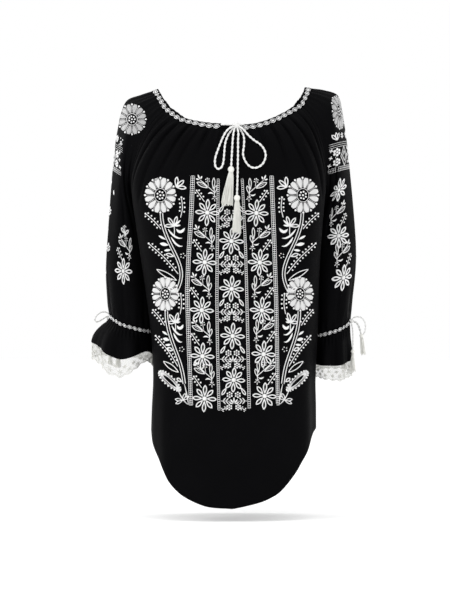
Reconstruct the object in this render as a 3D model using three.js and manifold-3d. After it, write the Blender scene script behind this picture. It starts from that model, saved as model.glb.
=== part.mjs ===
// Embroidered folk blouse, worn shape with no wearer: raglan sleeves gathered into a
// bound neck with a drawstring bow, shirt-tail hem with side slits, ruffled cuffs with lace.
// Millimetres. +Z up, the front faces -Y, the origin is in the neck opening at its two tips.
import * as THREE from 'three';
import Module from 'manifold-3d';

const wasm = await Module();
wasm.setup();
const { Manifold, Mesh } = wasm;

// ---- driving dimensions --------------------------------------------------------------
const WALL = 1.5;             // cloth wall
const GAP = 0.36;             // left open at every seam
const FRONT_COLS = 40, BACK_COLS = 26, SLEEVE_COLS = 22;
const CUFF_COLS = 38;
const YOKE_ROWS = 9;          // rows from the neck to the armpit, the same on every panel
const BODY_ROWS = 9;         // rows from the armpit to the hem
const ARM_ROWS = 8;           // rows from the armpit to the cuff
const GATHER_LENGTH = 96;     // how far the neck gathers run down the front
const GATHER_RISE = 3.4;      // how far the tallest one stands up
const BINDING_HEIGHT = 10, BINDING_THICK = 3.6;
const BAND_HEIGHT = 7, BAND_THICK = 3.0;
const RUFFLE_LENGTH = 44, LACE_LENGTH = 34, LACE_WALL = 1.0;
const ARMPIT_Z = -212;
const CORD = 4.0, TIE_CORD = 3.2;

// Neck line along the lower edge of the binding, from the left front seam round the front.
const NECK = {
  front: [[-121, -53, -37], [-91, -77, -58], [-39, -96, -71], [1, -100, -74],
    [42, -96, -74], [77, -85, -63], [110, -63, -44], [129, -43, -29]],
  right: [[129, -43, -29], [139, -24, -8], [143, 0, 5], [137, 25, -8], [120, 45, -29]],
  back: [[120, 45, -29], [78, 67, -54], [0, 80, -66], [-78, 67, -55], [-118, 46, -31]],
  left: [[-118, 46, -31], [-134, 26, -12], [-142, 0, 0], [-135, -29, -13], [-121, -53, -37]],
};

// Raglan seams from the neck to the armpit.
const SEAM = {
  frontLeft: [[-121, -53, -37], [-147, -68, -65], [-168, -67, -108], [-181, -48, -158],
    [-176, -18, -197], [-158, 10, ARMPIT_Z]],
  frontRight: [[129, -43, -29], [152, -62, -60], [166, -64, -106], [172, -46, -156],
    [168, -18, -196], [154, 10, ARMPIT_Z]],
  backLeft: [[-118, 46, -31], [-144, 68, -58], [-166, 72, -104], [-178, 56, -156],
    [-173, 34, -196], [-158, 10, ARMPIT_Z]],
  backRight: [[120, 45, -29], [146, 66, -56], [162, 71, -104], [171, 55, -156],
    [167, 34, -196], [154, 10, ARMPIT_Z]],
};

// Top line of each sleeve, from the neck over the shoulder to the armpit's height.
const SHOULDER = {
  left: [[-142, 0, 0], [-171, 2, -9], [-188, 3, -14.5], [-197, 4, -26], [-206, 5, -60],
    [-213, 6, -94], [-218.5, 8, -145], [-222.5, 10, -188]],
  right: [[143, 0, 5], [174, 2, 1], [189, 3, -3], [196, 4, -11], [204, 5, -48],
    [211, 6, -88], [217, 8, -136], [222, 10, -188]],
};

// Body sections: height, front and back depth, reach of the front's side folds on each
// side and their depth, then the side seam and the back's side folds.
const BODY = [
  // z, front, back, leftReach, rightReach, reachY, leftSeam, rightSeam, seamY, leftBack, rightBack, backY
  [-212, -123, 99, -181, 166, -52, -158, 154, 10, -160, 156, 58],
  [-245, -125, 101, -177, 165, -54, -146, 142, 10, -155, 151, 62],
  [-290, -122, 101, -169, 163, -52, -141, 139, 12, -151, 148, 64],
  [-350, -118, 99, -159, 160, -44, -138, 138, 16, -145, 144, 64],
  [-434, -115, 97, -147, 155, -30, -137, 139, 22, -138, 138, 62],
  [-515, -114, 97, -142, 150, -24, -137, 142, 22, -134, 138, 60],
  [-607, -112, 98, -145, 152, -22, -140, 148, 22, -132, 140, 60],
  [-690, -111, 98, -143, 148, -22, -139, 145, 22, -130, 136, 60],
  [-760, -110, 98, -140, 144, -22, -138, 141, 22, -128, 134, 60],
];

// Height of the hem at a share of the way from the middle of a panel to its side seam.
const HEM = {
  frontLeft: [[0, -752], [0.18, -749], [0.29, -741], [0.37, -732], [0.43, -722], [0.5, -704],
    [0.55, -686], [0.61, -668], [0.68, -650], [0.75, -632], [0.84, -615], [1, -604]],
  frontRight: [[0, -752], [0.07, -749], [0.22, -740], [0.31, -731], [0.37, -722],
    [0.44, -704], [0.5, -686], [0.55, -668], [0.61, -650], [0.68, -630], [0.78, -614], [1, -602]],
  back: [[0, -740], [0.2, -736], [0.36, -718], [0.5, -684], [0.62, -650], [0.75, -624],
    [0.88, -611], [1, -606]],
};

// Sleeve sections below the armpit: outer and inner reach, front and back depth, height,
// how far the outer side stands above it and how far the front hangs below it.
const ARM = {
  left: [
    // outer, inner, front, back, z, outerUp, frontDown
    [-223, -152, -30, 62, -246, 6, 4],
    [-228, -150, -28, 70, -290, 6, 4],
    [-229, -147, -24, 77, -340, 8, 5],
    [-226, -145, -16, 82, -388, 11, 7],
    [-223, -144, -8, 84, -417, 14, 9],
  ],
  right: [
    [225, 150, -30, 62, -246, 6, 4],
    [229, 148, -28, 70, -290, 6, 4],
    [226, 148, -24, 77, -340, 8, 5],
    [220, 148, -16, 82, -392, 11, 6],
    [217, 148, -8, 84, -428, 13, 7],
  ],
};
const ARMPIT_RING = {
  left: [[-158, 10, ARMPIT_Z], [-179, -14, -211], [-199, -32, -202], [-222.5, 10, -188],
    [-199, 56, -202], [-179, 36, -211]],
  right: [[154, 10, ARMPIT_Z], [173, -14, -211], [195, -32, -202], [222, 10, -188],
    [197, 56, -202], [175, 36, -211]],
};

// Cuffs: angle 0 faces the body, 0.25 the front, 0.5 the outside. Length of the ruffle at
// the inner and outer side, flare outside and in front, number and height of its waves,
// and dips of its hem: place round the cuff, change of length, width.
const CUFF = {
  left: { inner: 41, outer: 52, ahead: 10, flareOut: 27, flareFront: 7, waves: 8, wave: 4.6, turn: 0.4,
    dips: [[0.15, -11, 0.08], [0.31, 4, 0.06]] },
  right: { inner: 45, outer: 62, ahead: 5, flareOut: 2, flareFront: 4, waves: 9, wave: 3.2, turn: 1.1,
    dips: [] },
};
// Drawstring bow and cuff ties: the middle lines of the cords (x, y, z).
const BOW = {
  knot: [[-19, -101, -66.5], [-10, -102.2, -66.5], [0, -104.6, -67], [8, -106.5, -68],
    [14, -104.2, -67.5], [22, -98.8, -66]],
  knotRadius: [2, 2, 2.4, 2.6, 2.4, 2],
  round: 5.9,
  loop_left: [[2, -109, -70.8], [-5, -110.3, -75], [-11, -110.4, -82], [-17, -112, -94],
    [-24, -115.3, -112], [-29, -118, -128], [-29, -119.7, -141], [-24, -120.4, -147],
    [-18, -120, -144], [-14.5, -118.8, -134], [-13, -116.5, -118], [-11, -113.4, -100],
    [-6.5, -109, -87], [-2, -106, -80]],
  loop_right: [[14, -109, -70.8], [21, -110, -76], [30, -109.8, -86.5], [41, -110.4, -96],
    [51, -112.8, -103], [58.5, -114.2, -113], [60.5, -116.6, -125], [55, -119.2, -138],
    [45, -119.9, -144.5], [34, -119.8, -143.5], [25, -118.5, -134], [20.5, -116.9, -121],
    [22, -113.9, -105], [22, -109.4, -90], [17, -105.4, -78]],
  end_left: [[5.7, -109, -74.1], [3.6, -111, -82], [2.2, -113.4, -94], [1, -115.6, -112],
    [-0.6, -121.4, -141.2]],
  end_right: [[10.3, -109, -74.1], [12.1, -111.2, -82], [11.5, -113.8, -96], [11.5, -115.8, -110],
    [11, -119.6, -140], [10.4, -123.4, -168], [9.6, -127, -192.6]],
};
// Tassels: middle of the head, head radius, length of the skirt, its spread across and
// deep, its drift across and forward, number of strands and their thickness.
const TASSEL = {
  tassel_left: { at: [-1, -123.4, -148], head: 5.4, skirt: 62, wide: 11, deep: 3.6, drift: -7,
    lean: -5.4, strands: 24, thick: 1.5 },
  tassel_right: { at: [9.6, -128, -199], head: 5.4, skirt: 59, wide: 8.5, deep: 3.8, drift: -0.5,
    lean: 0, strands: 24, thick: 1.5 },
};
// Cuff ties: knot and its radius, loop, two ends and their small tassels.
const TIE = {
  right: {
    knot: [219.6, 17.6, -418], radius: 3.4,
    loop: [[223.5, 19, -413], [231, 17, -410.5], [239.6, 15, -413.4], [245, 14, -423],
      [244.8, 14, -436], [239.6, 14, -444], [235.4, 14.6, -436], [232, 16, -426], [226.6, 17, -420.4]],
    end_a: [[219.8, 13.5, -423], [221.6, 8, -434], [222, 4.5, -450], [221.6, 2.4, -468.4]],
    end_b: [[225, 15, -418.8], [230.5, 10.5, -423], [235.4, 7.5, -432], [236.8, 6.6, -440]],
    tassel_a: { at: [221.6, 2, -473.4], head: 3.4, skirt: 38, wide: 5, deep: 4, drift: 0, lean: 0,
      strands: 8, thick: 1.6 },
    tassel_b: { at: [237.4, 6.3, -444.8], head: 3.4, skirt: 34, wide: 5, deep: 4, drift: 4, lean: 0,
      strands: 8, thick: 1.6 },
  },
  left: {
    knot: [-223.2, 59.2, -407.6], radius: 3.4,
    loop: [[-228, 58, -404], [-235, 57.5, -401.5], [-243, 57.5, -403.5], [-249.5, 57.8, -409.5],
      [-252.5, 58, -415.5], [-250, 58.2, -419.8], [-244, 58.6, -418.6], [-236.5, 59, -414],
      [-230.5, 59.6, -410.5]],
    end_a: [[-228, 63, -411], [-230, 78, -418], [-228.5, 95, -434], [-226, 103, -459.6]],
    end_b: [[-220.5, 65.5, -410], [-217.5, 86, -414], [-213.5, 101, -426], [-211.4, 106, -444],
      [-211, 107, -463.6]],
    tassel_a: { at: [-225.8, 104, -464.5], head: 3.4, skirt: 36, wide: 5, deep: 4, drift: 0, lean: 0,
      strands: 8, thick: 1.6 },
    tassel_b: { at: [-211, 107, -468.5], head: 3.4, skirt: 36, wide: 5, deep: 4, drift: 0, lean: 0,
      strands: 8, thick: 1.6 },
  },
};

// Neck gathers on the front: place across it, height and length as shares, width.
const GATHERS = [
  [0.06, 0.8, 1.0, 0.026], [0.13, 1.0, 1.15, 0.028], [0.2, 0.85, 0.95, 0.024],
  [0.265, 0.9, 0.9, 0.024], [0.33, 0.7, 0.75, 0.022], [0.4, 0.6, 0.6, 0.022],
  [0.47, 0.55, 0.55, 0.022], [0.545, 0.6, 0.6, 0.022], [0.62, 0.75, 0.75, 0.023],
  [0.69, 0.9, 0.9, 0.024], [0.76, 0.85, 0.95, 0.024], [0.83, 1.0, 1.05, 0.026],
  [0.9, 0.9, 1.1, 0.028], [0.955, 0.7, 1.0, 0.024],
];
// Long soft folds in the lower body: place across, rise, width, start and full height.
const BODY_FOLDS = {
  front: [[0.14, 2.6, 0.035, -420, -560], [0.24, 1.6, 0.03, -460, -620],
    [0.8, 2.0, 0.035, -380, -540], [0.9, 2.4, 0.03, -330, -480]],
  back: [[0.18, 3.0, 0.05, -300, -460], [0.38, 2.2, 0.05, -360, -540],
    [0.6, 2.4, 0.05, -340, -520], [0.84, 3.0, 0.05, -300, -460]],
};

// ---- small vector helpers ------------------------------------------------------------
const add = (a, b, k = 1) => [a[0] + k * b[0], a[1] + k * b[1], a[2] + k * b[2]];
const sub = (a, b) => add(a, b, -1);
const scale = (a, k) => [a[0] * k, a[1] * k, a[2] * k];
const dot = (a, b) => a[0] * b[0] + a[1] * b[1] + a[2] * b[2];
const cross = (a, b) => [a[1] * b[2] - a[2] * b[1], a[2] * b[0] - a[0] * b[2],
  a[0] * b[1] - a[1] * b[0]];
const len = (a) => Math.hypot(a[0], a[1], a[2]);
const unit = (a) => scale(a, 1 / Math.max(len(a), 1e-9));
const mix = (a, b, t) => add(scale(a, 1 - t), b, t);
const clamp = (x, a = 0, b = 1) => Math.min(b, Math.max(a, x));
const smooth = (a, b, x) => { const t = clamp((x - a) / (b - a)); return t * t * (3 - 2 * t); };

// A smooth line through points, by its share of the length from 0 to 1.
function line(points, closed = false) {
  const p = closed ? [...points, points[0]] : points;
  const n = p.length - 1;
  const key = [0];
  for (let i = 0; i < n; i++) key.push(key[i] + len(sub(p[i + 1], p[i])));
  const slope = p.map((_, i) => {
    if (closed && (i === 0 || i === n)) {
      return scale(sub(p[1], p[n - 1]), 1 / (key[1] + key[n] - key[n - 1]));
    }
    const a = Math.max(i - 1, 0), b = Math.min(i + 1, n);
    return scale(sub(p[b], p[a]), 1 / (key[b] - key[a]));
  });
  return (t) => {
    const s = clamp(t) * key[n];
    let i = 0;
    while (i < n - 1 && key[i + 1] < s) i++;
    const h = key[i + 1] - key[i], x = (s - key[i]) / h, x2 = x * x, x3 = x2 * x;
    return add(add(scale(p[i], 2 * x3 - 3 * x2 + 1), p[i + 1], 3 * x2 - 2 * x3),
      add(scale(slope[i], x3 - 2 * x2 + x), slope[i + 1], x3 - x2), h);
  };
}

// The columns of a table at a value of its first column, smoothly between the rows.
function column(rows, s, key = 0) {
  const way = Math.sign(rows[rows.length - 1][key] - rows[0][key]);
  let i = 0;
  while (i < rows.length - 2 && (rows[i + 1][key] - s) * way < 0) i++;
  const a = rows[Math.max(i - 1, 0)], b = rows[i], c = rows[i + 1],
    d = rows[Math.min(i + 2, rows.length - 1)];
  const h = c[key] - b[key], x = clamp((s - b[key]) / h), x2 = x * x, x3 = x2 * x;
  return b.map((v, k) => (2 * x3 - 3 * x2 + 1) * v + (3 * x2 - 2 * x3) * c[k]
    + h * ((x3 - 2 * x2 + x) * (c[k] - a[k]) / (c[key] - a[key])
      + (x3 - x2) * (d[k] - b[k]) / (d[key] - b[key])));
}

// ---- body section at a height --------------------------------------------------------
function bodyRing(z) {
  const [, front, back, lr, rr, ry, ls, rs, sy, lb, rb, by] = column(BODY, z);
  const P = (x, y) => [x, y, z];
  const all = [P(ls, sy), P(lr, ry), P(lr * 0.86, ry + (front - ry) * 0.62),
    P(lr * 0.5, ry + (front - ry) * 0.93), P(0, front), P(rr * 0.5, ry + (front - ry) * 0.93),
    P(rr * 0.86, ry + (front - ry) * 0.62), P(rr, ry), P(rs, sy), P(rb, by),
    P(rb * 0.8, by + (back - by) * 0.7), P(rb * 0.42, by + (back - by) * 0.96), P(0, back),
    P(lb * 0.42, by + (back - by) * 0.96), P(lb * 0.8, by + (back - by) * 0.7), P(lb, by)];
  return { front: line(all.slice(0, 9)), back: line([...all.slice(8), all[0]]) };
}

// ---- panels --------------------------------------------------------------------------
// A patch between the neck, two seams and the armpit's section, with its middle set apart.
function yoke(top, bottom, left, right, hold, middle) {
  return (u, t) => {
    const g = t, base = mix(top(u), bottom(u), g);
    const devL = sub(left(t), mix(top(0), bottom(0), g));
    const devR = sub(right(t), mix(top(1), bottom(1), g));
    let p = add(add(base, devL, (1 - u) ** hold), devR, u ** hold);
    if (middle) {
      const plain = add(add(mix(top(0.5), bottom(0.5), g), devL, 0.5 ** hold), devR, 0.5 ** hold);
      p = add(p, sub(middle(t), plain), (4 * u * (1 - u)) ** 1.5);
    }
    return p;
  };
}

const seam = Object.fromEntries(Object.entries(SEAM).map(([k, v]) => [k, line(v)]));
const neck = Object.fromEntries(Object.entries(NECK).map(([k, v]) => [k, line(v)]));

function hemHeight(u, front) {
  const q = Math.abs(2 * u - 1);
  const rows = front ? (u < 0.5 ? HEM.frontLeft : HEM.frontRight) : HEM.back;
  return column(rows, q)[1];
}

function panel(front) {
  const cols = front ? FRONT_COLS : BACK_COLS;
  const armpit = bodyRing(ARMPIT_Z)[front ? 'front' : 'back'];
  const chest = front ? line([[1, -100, -74], [0, -109, -100], [0, -118, -150], [0, -123, ARMPIT_Z]])
    : line([[0, 80, -66], [0, 92, -99], [0, 98, -150], [0, 99, ARMPIT_Z]]);
  const top = front ? neck.front : neck.back;
  const up = yoke(top, armpit, front ? seam.frontLeft : seam.backRight,
    front ? seam.frontRight : seam.backLeft, 3, chest);
  const rows = [];
  for (let i = 0; i <= YOKE_ROWS + BODY_ROWS; i++) {
    const row = [];
    for (let j = 0; j <= cols; j++) {
      const u = j / cols;
      if (i <= YOKE_ROWS) row.push(up(u, i / YOKE_ROWS));
      else {
        const v = ((i - YOKE_ROWS) / BODY_ROWS) ** 0.94;
        const z = ARMPIT_Z + v * (hemHeight(u, front) - ARMPIT_Z);
        row.push(bodyRing(z)[front ? 'front' : 'back'](u));
      }
    }
    rows.push(row);
  }
  return { rows, cols, front };
}

function sleeve(side) {
  const right = side === 'right';
  const ring = line(ARMPIT_RING[side], true);
  const topLine = neck[side];
  const top = right ? topLine : (u) => topLine(1 - u);
  const up = yoke(top, ring, seam[right ? 'frontRight' : 'frontLeft'],
    seam[right ? 'backRight' : 'backLeft'], 2, line(SHOULDER[side]));
  const rows = [];
  for (let i = 0; i <= YOKE_ROWS; i++) {
    rows.push(Array.from({ length: SLEEVE_COLS + 1 }, (_, j) => up(j / SLEEVE_COLS, i / YOKE_ROWS)));
  }
  for (let i = 1; i <= ARM_ROWS; i++) {
    const s = i / ARM_ROWS, row = [];
    for (let j = 0; j <= SLEEVE_COLS; j++) row.push(armPoint(side, s, (j % SLEEVE_COLS) / SLEEVE_COLS));
    rows.push(row);
  }
  return { rows, cols: SLEEVE_COLS, side };
}

function armRing(row, u) {
  const [outer, inner, front, back, z, outerUp, frontDown] = row;
  const a = 2 * Math.PI * u, c = Math.cos(a), s = Math.sin(a);
  const round = (x) => Math.sign(x) * Math.abs(x) ** 0.9;
  return [(outer + inner) / 2 + (inner - outer) / 2 * round(c),
    (front + back) / 2 - (back - front) / 2 * round(s), z - outerUp * c - frontDown * s];
}
function armPoint(side, s, u) {
  const table = ARM[side], n = table.length;
  const stations = [line(ARMPIT_RING[side], true)(u), ...table.map((r) => armRing(r, u))];
  const keys = stations.map((p, i) => [i / n, ...p]);
  keys[0][0] = 0;
  return column(keys, s).slice(1);
}

// Outward normals of a grid from its neighbours.
function normals(g, around = 0) {
  const R = g.length - 1, C = g[0].length - 1;
  return g.map((row, i) => row.map((_, j) => {
    const up = g[Math.max(i - 1, 0)][j], dn = g[Math.min(i + 1, R)][j];
    const wrap = i >= around && around >= 0;
    const a = g[i][j === 0 ? (wrap ? C - 1 : 0) : j - 1];
    const b = g[i][j === C ? (wrap ? 1 : C) : j + 1];
    return unit(cross(sub(dn, up), sub(b, a)));
  }));
}

// Irons out the breaks between the yoke and the rows below it; seams and hems stay put.
function iron(g, times, around = Infinity) {
  const C = g[0].length - 1, R = g.length - 1;
  for (let k = 0; k < times; k++) {
    const old = g.map((row) => row.map((p) => p));
    for (let i = 2; i < R - 1; i++) {
      const wrap = i > around;
      for (let j = wrap ? 0 : 1; j < (wrap ? C : C); j++) {
        if (i === YOKE_ROWS && around < Infinity && (j < 2 || j > C - 2)) continue;
        const l = old[i][j === 0 ? C - 1 : j - 1], r = old[i][j + 1];
        const up = old[i - 1][j], dn = old[i + 1][j];
        const near = Math.exp(-(((i - YOKE_ROWS) / 3.2) ** 2))
          * smooth(0, 0.2, Math.min(j / C, 1 - j / C) + (i > YOKE_ROWS + 1 ? 0.1 : 0));
        const a = len(sub(up, old[i][j])), b = len(sub(dn, old[i][j]));
        const flat = mix(up, dn, a / (a + b));
        g[i][j] = mix(old[i][j], mix(flat, mix(l, r, 0.5), 0.25), 0.6 * near);
      }
      if (wrap) g[i][C] = g[i][0];
    }
  }
}

// Folds pushed out along the normals.
function fold(g, n, rise, wrapFrom = Infinity) {
  const C = g[0].length - 1;
  return g.map((row, i) => row.map((p, j) => add(p, n[i][j],
    rise(i >= wrapFrom ? (j % C) / C : j / C, i, p))));
}

const bump = (u, at, width) => Math.exp(-(((u - at) / width) ** 2));
function frontFolds(u, i, p) {
  const edge = smooth(0, 0.035, u) * smooth(0, 0.035, 1 - u);
  let h = 0;
  if (i <= YOKE_ROWS + 2) {
    const down = Math.min(i, YOKE_ROWS) / YOKE_ROWS * 138 + Math.max(0, i - YOKE_ROWS) * 40;
    for (const [at, tall, long, wide] of GATHERS) {
      const on = smooth(-10, 22, down) * (1 - smooth(0.35, 1.15, down / (GATHER_LENGTH * long)));
      h += GATHER_RISE * tall * on * bump(u, at, wide);
    }
  }
  for (const [at, tall, wide, from, full] of BODY_FOLDS.front) {
    h += tall * smooth(-from, -full, -p[2]) * bump(u, at, wide);
  }
  return h * edge;
}
function backFolds(u, i, p) {
  const edge = smooth(0, 0.05, u) * smooth(0, 0.05, 1 - u);
  let h = 0;
  if (i <= YOKE_ROWS) {
    const down = i / YOKE_ROWS;
    const on = smooth(-0.08, 0.2, down) * (1 - smooth(0.3, 0.85, down));
    h += 2.2 * on * (1 + Math.cos(2 * Math.PI * 6.5 * u)) / 2;
  }
  for (const [at, tall, wide, from, full] of BODY_FOLDS.back) {
    h += tall * smooth(-from, -full, -p[2]) * bump(u, at, wide);
  }
  return h * edge;
}
function sleeveFolds(u, i) {
  const edge = i <= YOKE_ROWS ? smooth(0, 0.08, u) * smooth(0, 0.08, 1 - u)
    : smooth(0.02, 0.09, Math.min(u, 1 - u));
  let h = 0;
  if (i < YOKE_ROWS) {
    h += 1.3 * (1 - smooth(1, 5, i)) * smooth(-1, 1.5, i) * (1 - Math.cos(2 * Math.PI * 5 * u)) / 2;
  }
  const low = smooth(YOKE_ROWS + 3, YOKE_ROWS + ARM_ROWS - 1, i)
    * (1 - 0.75 * smooth(YOKE_ROWS + ARM_ROWS - 1, YOKE_ROWS + ARM_ROWS, i));
  h += 2.4 * low * (1 - Math.cos(2 * Math.PI * 7 * u)) / 2;
  h += 2.0 * smooth(YOKE_ROWS - 3, YOKE_ROWS + 2, i) * (1 - low)
    * (bump(u, 0.3, 0.05) + bump(u, 0.46, 0.04) + bump(u, 0.72, 0.05));
  return h * edge;
}

// ---- walls ---------------------------------------------------------------------------
const outline = (name, colour, rough = 0.75) => new THREE.MeshStandardMaterial(
  { name, color: colour, roughness: rough, metalness: 0 });
const group = new THREE.Group();
group.name = 'embroidered_folk_blouse';

function solid(name, points, faces, colour) {
  const geo = new THREE.BufferGeometry();
  geo.setAttribute('position', new THREE.Float32BufferAttribute(points.flat(), 3));
  geo.setIndex(faces.flat());
  geo.computeVertexNormals();
  const mesh = new THREE.Mesh(geo, outline(`${name}_finish`, colour));
  mesh.name = name;
  group.add(mesh);
}

// A closed wall: outer points, the same moved in, and a rim along each open edge.
// From row `around` down the last column is the first one again.
function wall(name, g, n, thick, colour, around = Infinity) {
  const R = g.length - 1, C = g[0].length - 1, points = [], at = [];
  for (const side of [0, 1]) {
    at.push(g.map((row, i) => row.map((p, j) => {
      if (i >= around && j === C) return null;
      points.push(side ? add(p, n[i][j], -thick) : p);
      return points.length - 1;
    })));
    at[side].forEach((row, i) => { if (i >= around) row[C] = row[0]; });
  }
  const faces = [];
  const quad = (a, b, c, d, s) => {
    const A = points[a], B = points[b], Cc = points[c], D = points[d];
    const tri = (p, q, r) => { if (p !== q && q !== r && p !== r) faces.push(s ? [p, r, q] : [p, q, r]); };
    if (len(sub(A, Cc)) <= len(sub(B, D))) { tri(a, b, c); tri(a, c, d); }
    else { tri(a, b, d); tri(b, c, d); }
  };
  for (let i = 0; i < R; i++) {
    for (let j = 0; j < C; j++) {
      quad(at[0][i][j], at[0][i + 1][j], at[0][i + 1][j + 1], at[0][i][j + 1], false);
      quad(at[1][i][j], at[1][i + 1][j], at[1][i + 1][j + 1], at[1][i][j + 1], true);
    }
    if (i < around) {
      quad(at[0][i][0], at[1][i][0], at[1][i + 1][0], at[0][i + 1][0], false);
      quad(at[0][i][C], at[0][i + 1][C], at[1][i + 1][C], at[1][i][C], false);
    }
  }
  for (let j = 0; j < C; j++) {
    quad(at[0][0][j], at[0][0][j + 1], at[1][0][j + 1], at[1][0][j], false);
    quad(at[0][R][j], at[1][R][j], at[1][R][j + 1], at[0][R][j + 1], false);
  }
  const i = R >> 1, j = C >> 1;
  const facing = dot(n[i][j], cross(sub(g[i + 1][j], g[i][j]), sub(g[i][j + 1], g[i][j])));
  solid(name, points, facing > 0 ? faces : faces.map(([x, y, z]) => [x, z, y]), colour);
}

const BLACK = 0x121214, WHITE = 0xf2f2ee, LACE = 0xe6e4da;

const front = panel(true), back = panel(false);
const sleeves = { left: sleeve('left'), right: sleeve('right') };
for (const p of [front, back]) {
  iron(p.rows, 12);
  p.n = normals(p.rows, Infinity);
}
for (const s of Object.values(sleeves)) iron(s.rows, 8, YOKE_ROWS);
for (const s of Object.values(sleeves)) {
  s.n = normals(s.rows, YOKE_ROWS);
  if (s.side === 'left') s.n = s.n.map((r) => r.map((v) => scale(v, -1)));
}
// Each grid runs down its rows; turn every normal outward.
function outward(p) {
  const mid = p.rows[YOKE_ROWS + 3][Math.round(p.cols / 2)];
  const aim = p.side ? [p.side === 'left' ? -1 : 1, 0, 0] : [0, p.front ? -1 : 1, 0];
  if (dot(p.n[YOKE_ROWS + 3][Math.round(p.cols / 2)], aim) < 0) {
    p.n = p.n.map((r) => r.map((v) => scale(v, -1)));
  }
  return mid;
}
[front, back, sleeves.left, sleeves.right].forEach(outward);

front.rows = fold(front.rows, front.n, frontFolds);
back.rows = fold(back.rows, back.n, backFolds);
for (const s of Object.values(sleeves)) s.rows = fold(s.rows, s.n, sleeveFolds, YOKE_ROWS);
// How far out a body panel stands at a depth and height beside the sleeve, or null.
function reachAt(out, y, z) {
  let best = null;
  for (const { rows, cols } of [front, back]) {
    for (let i = 3; i < YOKE_ROWS + 6; i++) {
      for (let j = 0; j < cols; j++) {
        const q = [rows[i][j], rows[i + 1][j], rows[i + 1][j + 1], rows[i][j + 1]];
        if (q[0][0] * out < 90) continue;
        for (const [a, b, c] of [[q[0], q[1], q[2]], [q[0], q[2], q[3]]]) {
          const d = (b[1] - a[1]) * (c[2] - a[2]) - (c[1] - a[1]) * (b[2] - a[2]);
          if (Math.abs(d) < 1e-6) continue;
          const s = ((y - a[1]) * (c[2] - a[2]) - (c[1] - a[1]) * (z - a[2])) / d;
          const t = ((b[1] - a[1]) * (z - a[2]) - (y - a[1]) * (b[2] - a[2])) / d;
          if (s < -0.02 || t < -0.02 || s + t > 1.02) continue;
          const x = out * (a[0] + s * (b[0] - a[0]) + t * (c[0] - a[0]));
          if (best === null || x > best) best = x;
        }
      }
    }
  }
  return best;
}
for (const s of Object.values(sleeves)) {
  const out = s.side === 'left' ? -1 : 1, C = SLEEVE_COLS;
  for (let i = YOKE_ROWS - 5; i <= YOKE_ROWS + 4; i++) {
    for (let j = 0; j <= C; j++) {
      const off = Math.min(j, C - j);
      if (off > 6 || (i <= YOKE_ROWS && off === 0)) continue;
      const p = s.rows[i][j], x = reachAt(out, p[1], p[2]);
      const room = off === 1 && i <= YOKE_ROWS ? 2.4 : 3;
      if (x !== null && out * p[0] < x + room) s.rows[i][j] = [out * (x + room), p[1], p[2]];
    }
  }
}
const renew = (p, around) => {
  p.n = normals(p.rows, around);
  outward(p);
};
renew(front, Infinity); renew(back, Infinity);
renew(sleeves.left, YOKE_ROWS); renew(sleeves.right, YOKE_ROWS);

// Where two panels meet they share one normal and stand GAP apart along the seam's plane.
function join(a, ja, b, jb, from, to) {
  for (let i = from; i <= to; i++) {
    const n = unit(add(a.n[i][ja], b.n[i][jb]));
    a.n[i][ja] = n;
    b.n[i][jb] = n;
  }
  const p = [];
  for (let i = from; i <= to; i++) p.push(a.rows[i][ja]);
  for (let i = from; i <= to; i++) {
    const k = i - from, t = sub(p[Math.min(k + 1, p.length - 1)], p[Math.max(k - 1, 0)]);
    const across = unit(cross(unit(t), a.n[i][ja]));
    const inA = sub(a.rows[i][ja === 0 ? 1 : ja - 1], a.rows[i][ja]);
    const way = Math.sign(dot(across, inA)) || 1;
    a.pull = a.pull || new Map();
    b.pull = b.pull || new Map();
    const put = (m, key, v) => m.set(key, m.has(key) ? add(m.get(key), v) : v);
    put(a.pull, `${i},${ja}`, scale(across, way * GAP / 2));
    put(b.pull, `${i},${jb}`, scale(across, -way * GAP / 2));
  }
}
const last = YOKE_ROWS, slit = YOKE_ROWS + BODY_ROWS - 1;
join(front, 0, sleeves.left, 0, 0, last - 1);
join(front, FRONT_COLS, sleeves.right, 0, 0, last - 1);
join(back, BACK_COLS, sleeves.left, SLEEVE_COLS, 0, last - 1);
join(back, 0, sleeves.right, SLEEVE_COLS, 0, last - 1);
join(front, 0, back, BACK_COLS, last, slit);
join(front, FRONT_COLS, back, 0, last, slit);
for (const p of [front, back, sleeves.left, sleeves.right]) {
  for (const [key, v] of p.pull) {
    const [i, j] = key.split(',').map(Number);
    p.rows[i][j] = add(p.rows[i][j], v);
  }
}
// The sleeve's crotch hangs clear of the side seam's top.
for (const s of Object.values(sleeves)) {
  const i = YOKE_ROWS, out = s.side === 'left' ? -1 : 1;
  for (const j of [0, SLEEVE_COLS]) {
    s.rows[i][j] = add(s.rows[i][j], [out * 1.2, 0, -0.6]);
    s.n[i][j] = unit([-out * 0.5, 0, -0.85]);
  }
}
// The lowest corners part a little at the slits.
for (const [p, j, y] of [[front, 0, -3], [front, FRONT_COLS, -3], [back, 0, 3], [back, BACK_COLS, 3]]) {
  const R = p.rows.length - 1;
  p.rows[R][j] = add(p.rows[R][j], [0, y, 0]);
}

wall('front', front.rows, front.n, WALL, BLACK);
wall('back', back.rows, back.n, WALL, BLACK);
wall('sleeve_left', sleeves.left.rows, sleeves.left.n, WALL, BLACK, YOKE_ROWS);
wall('sleeve_right', sleeves.right.rows, sleeves.right.n, WALL, BLACK, YOKE_ROWS);

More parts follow.
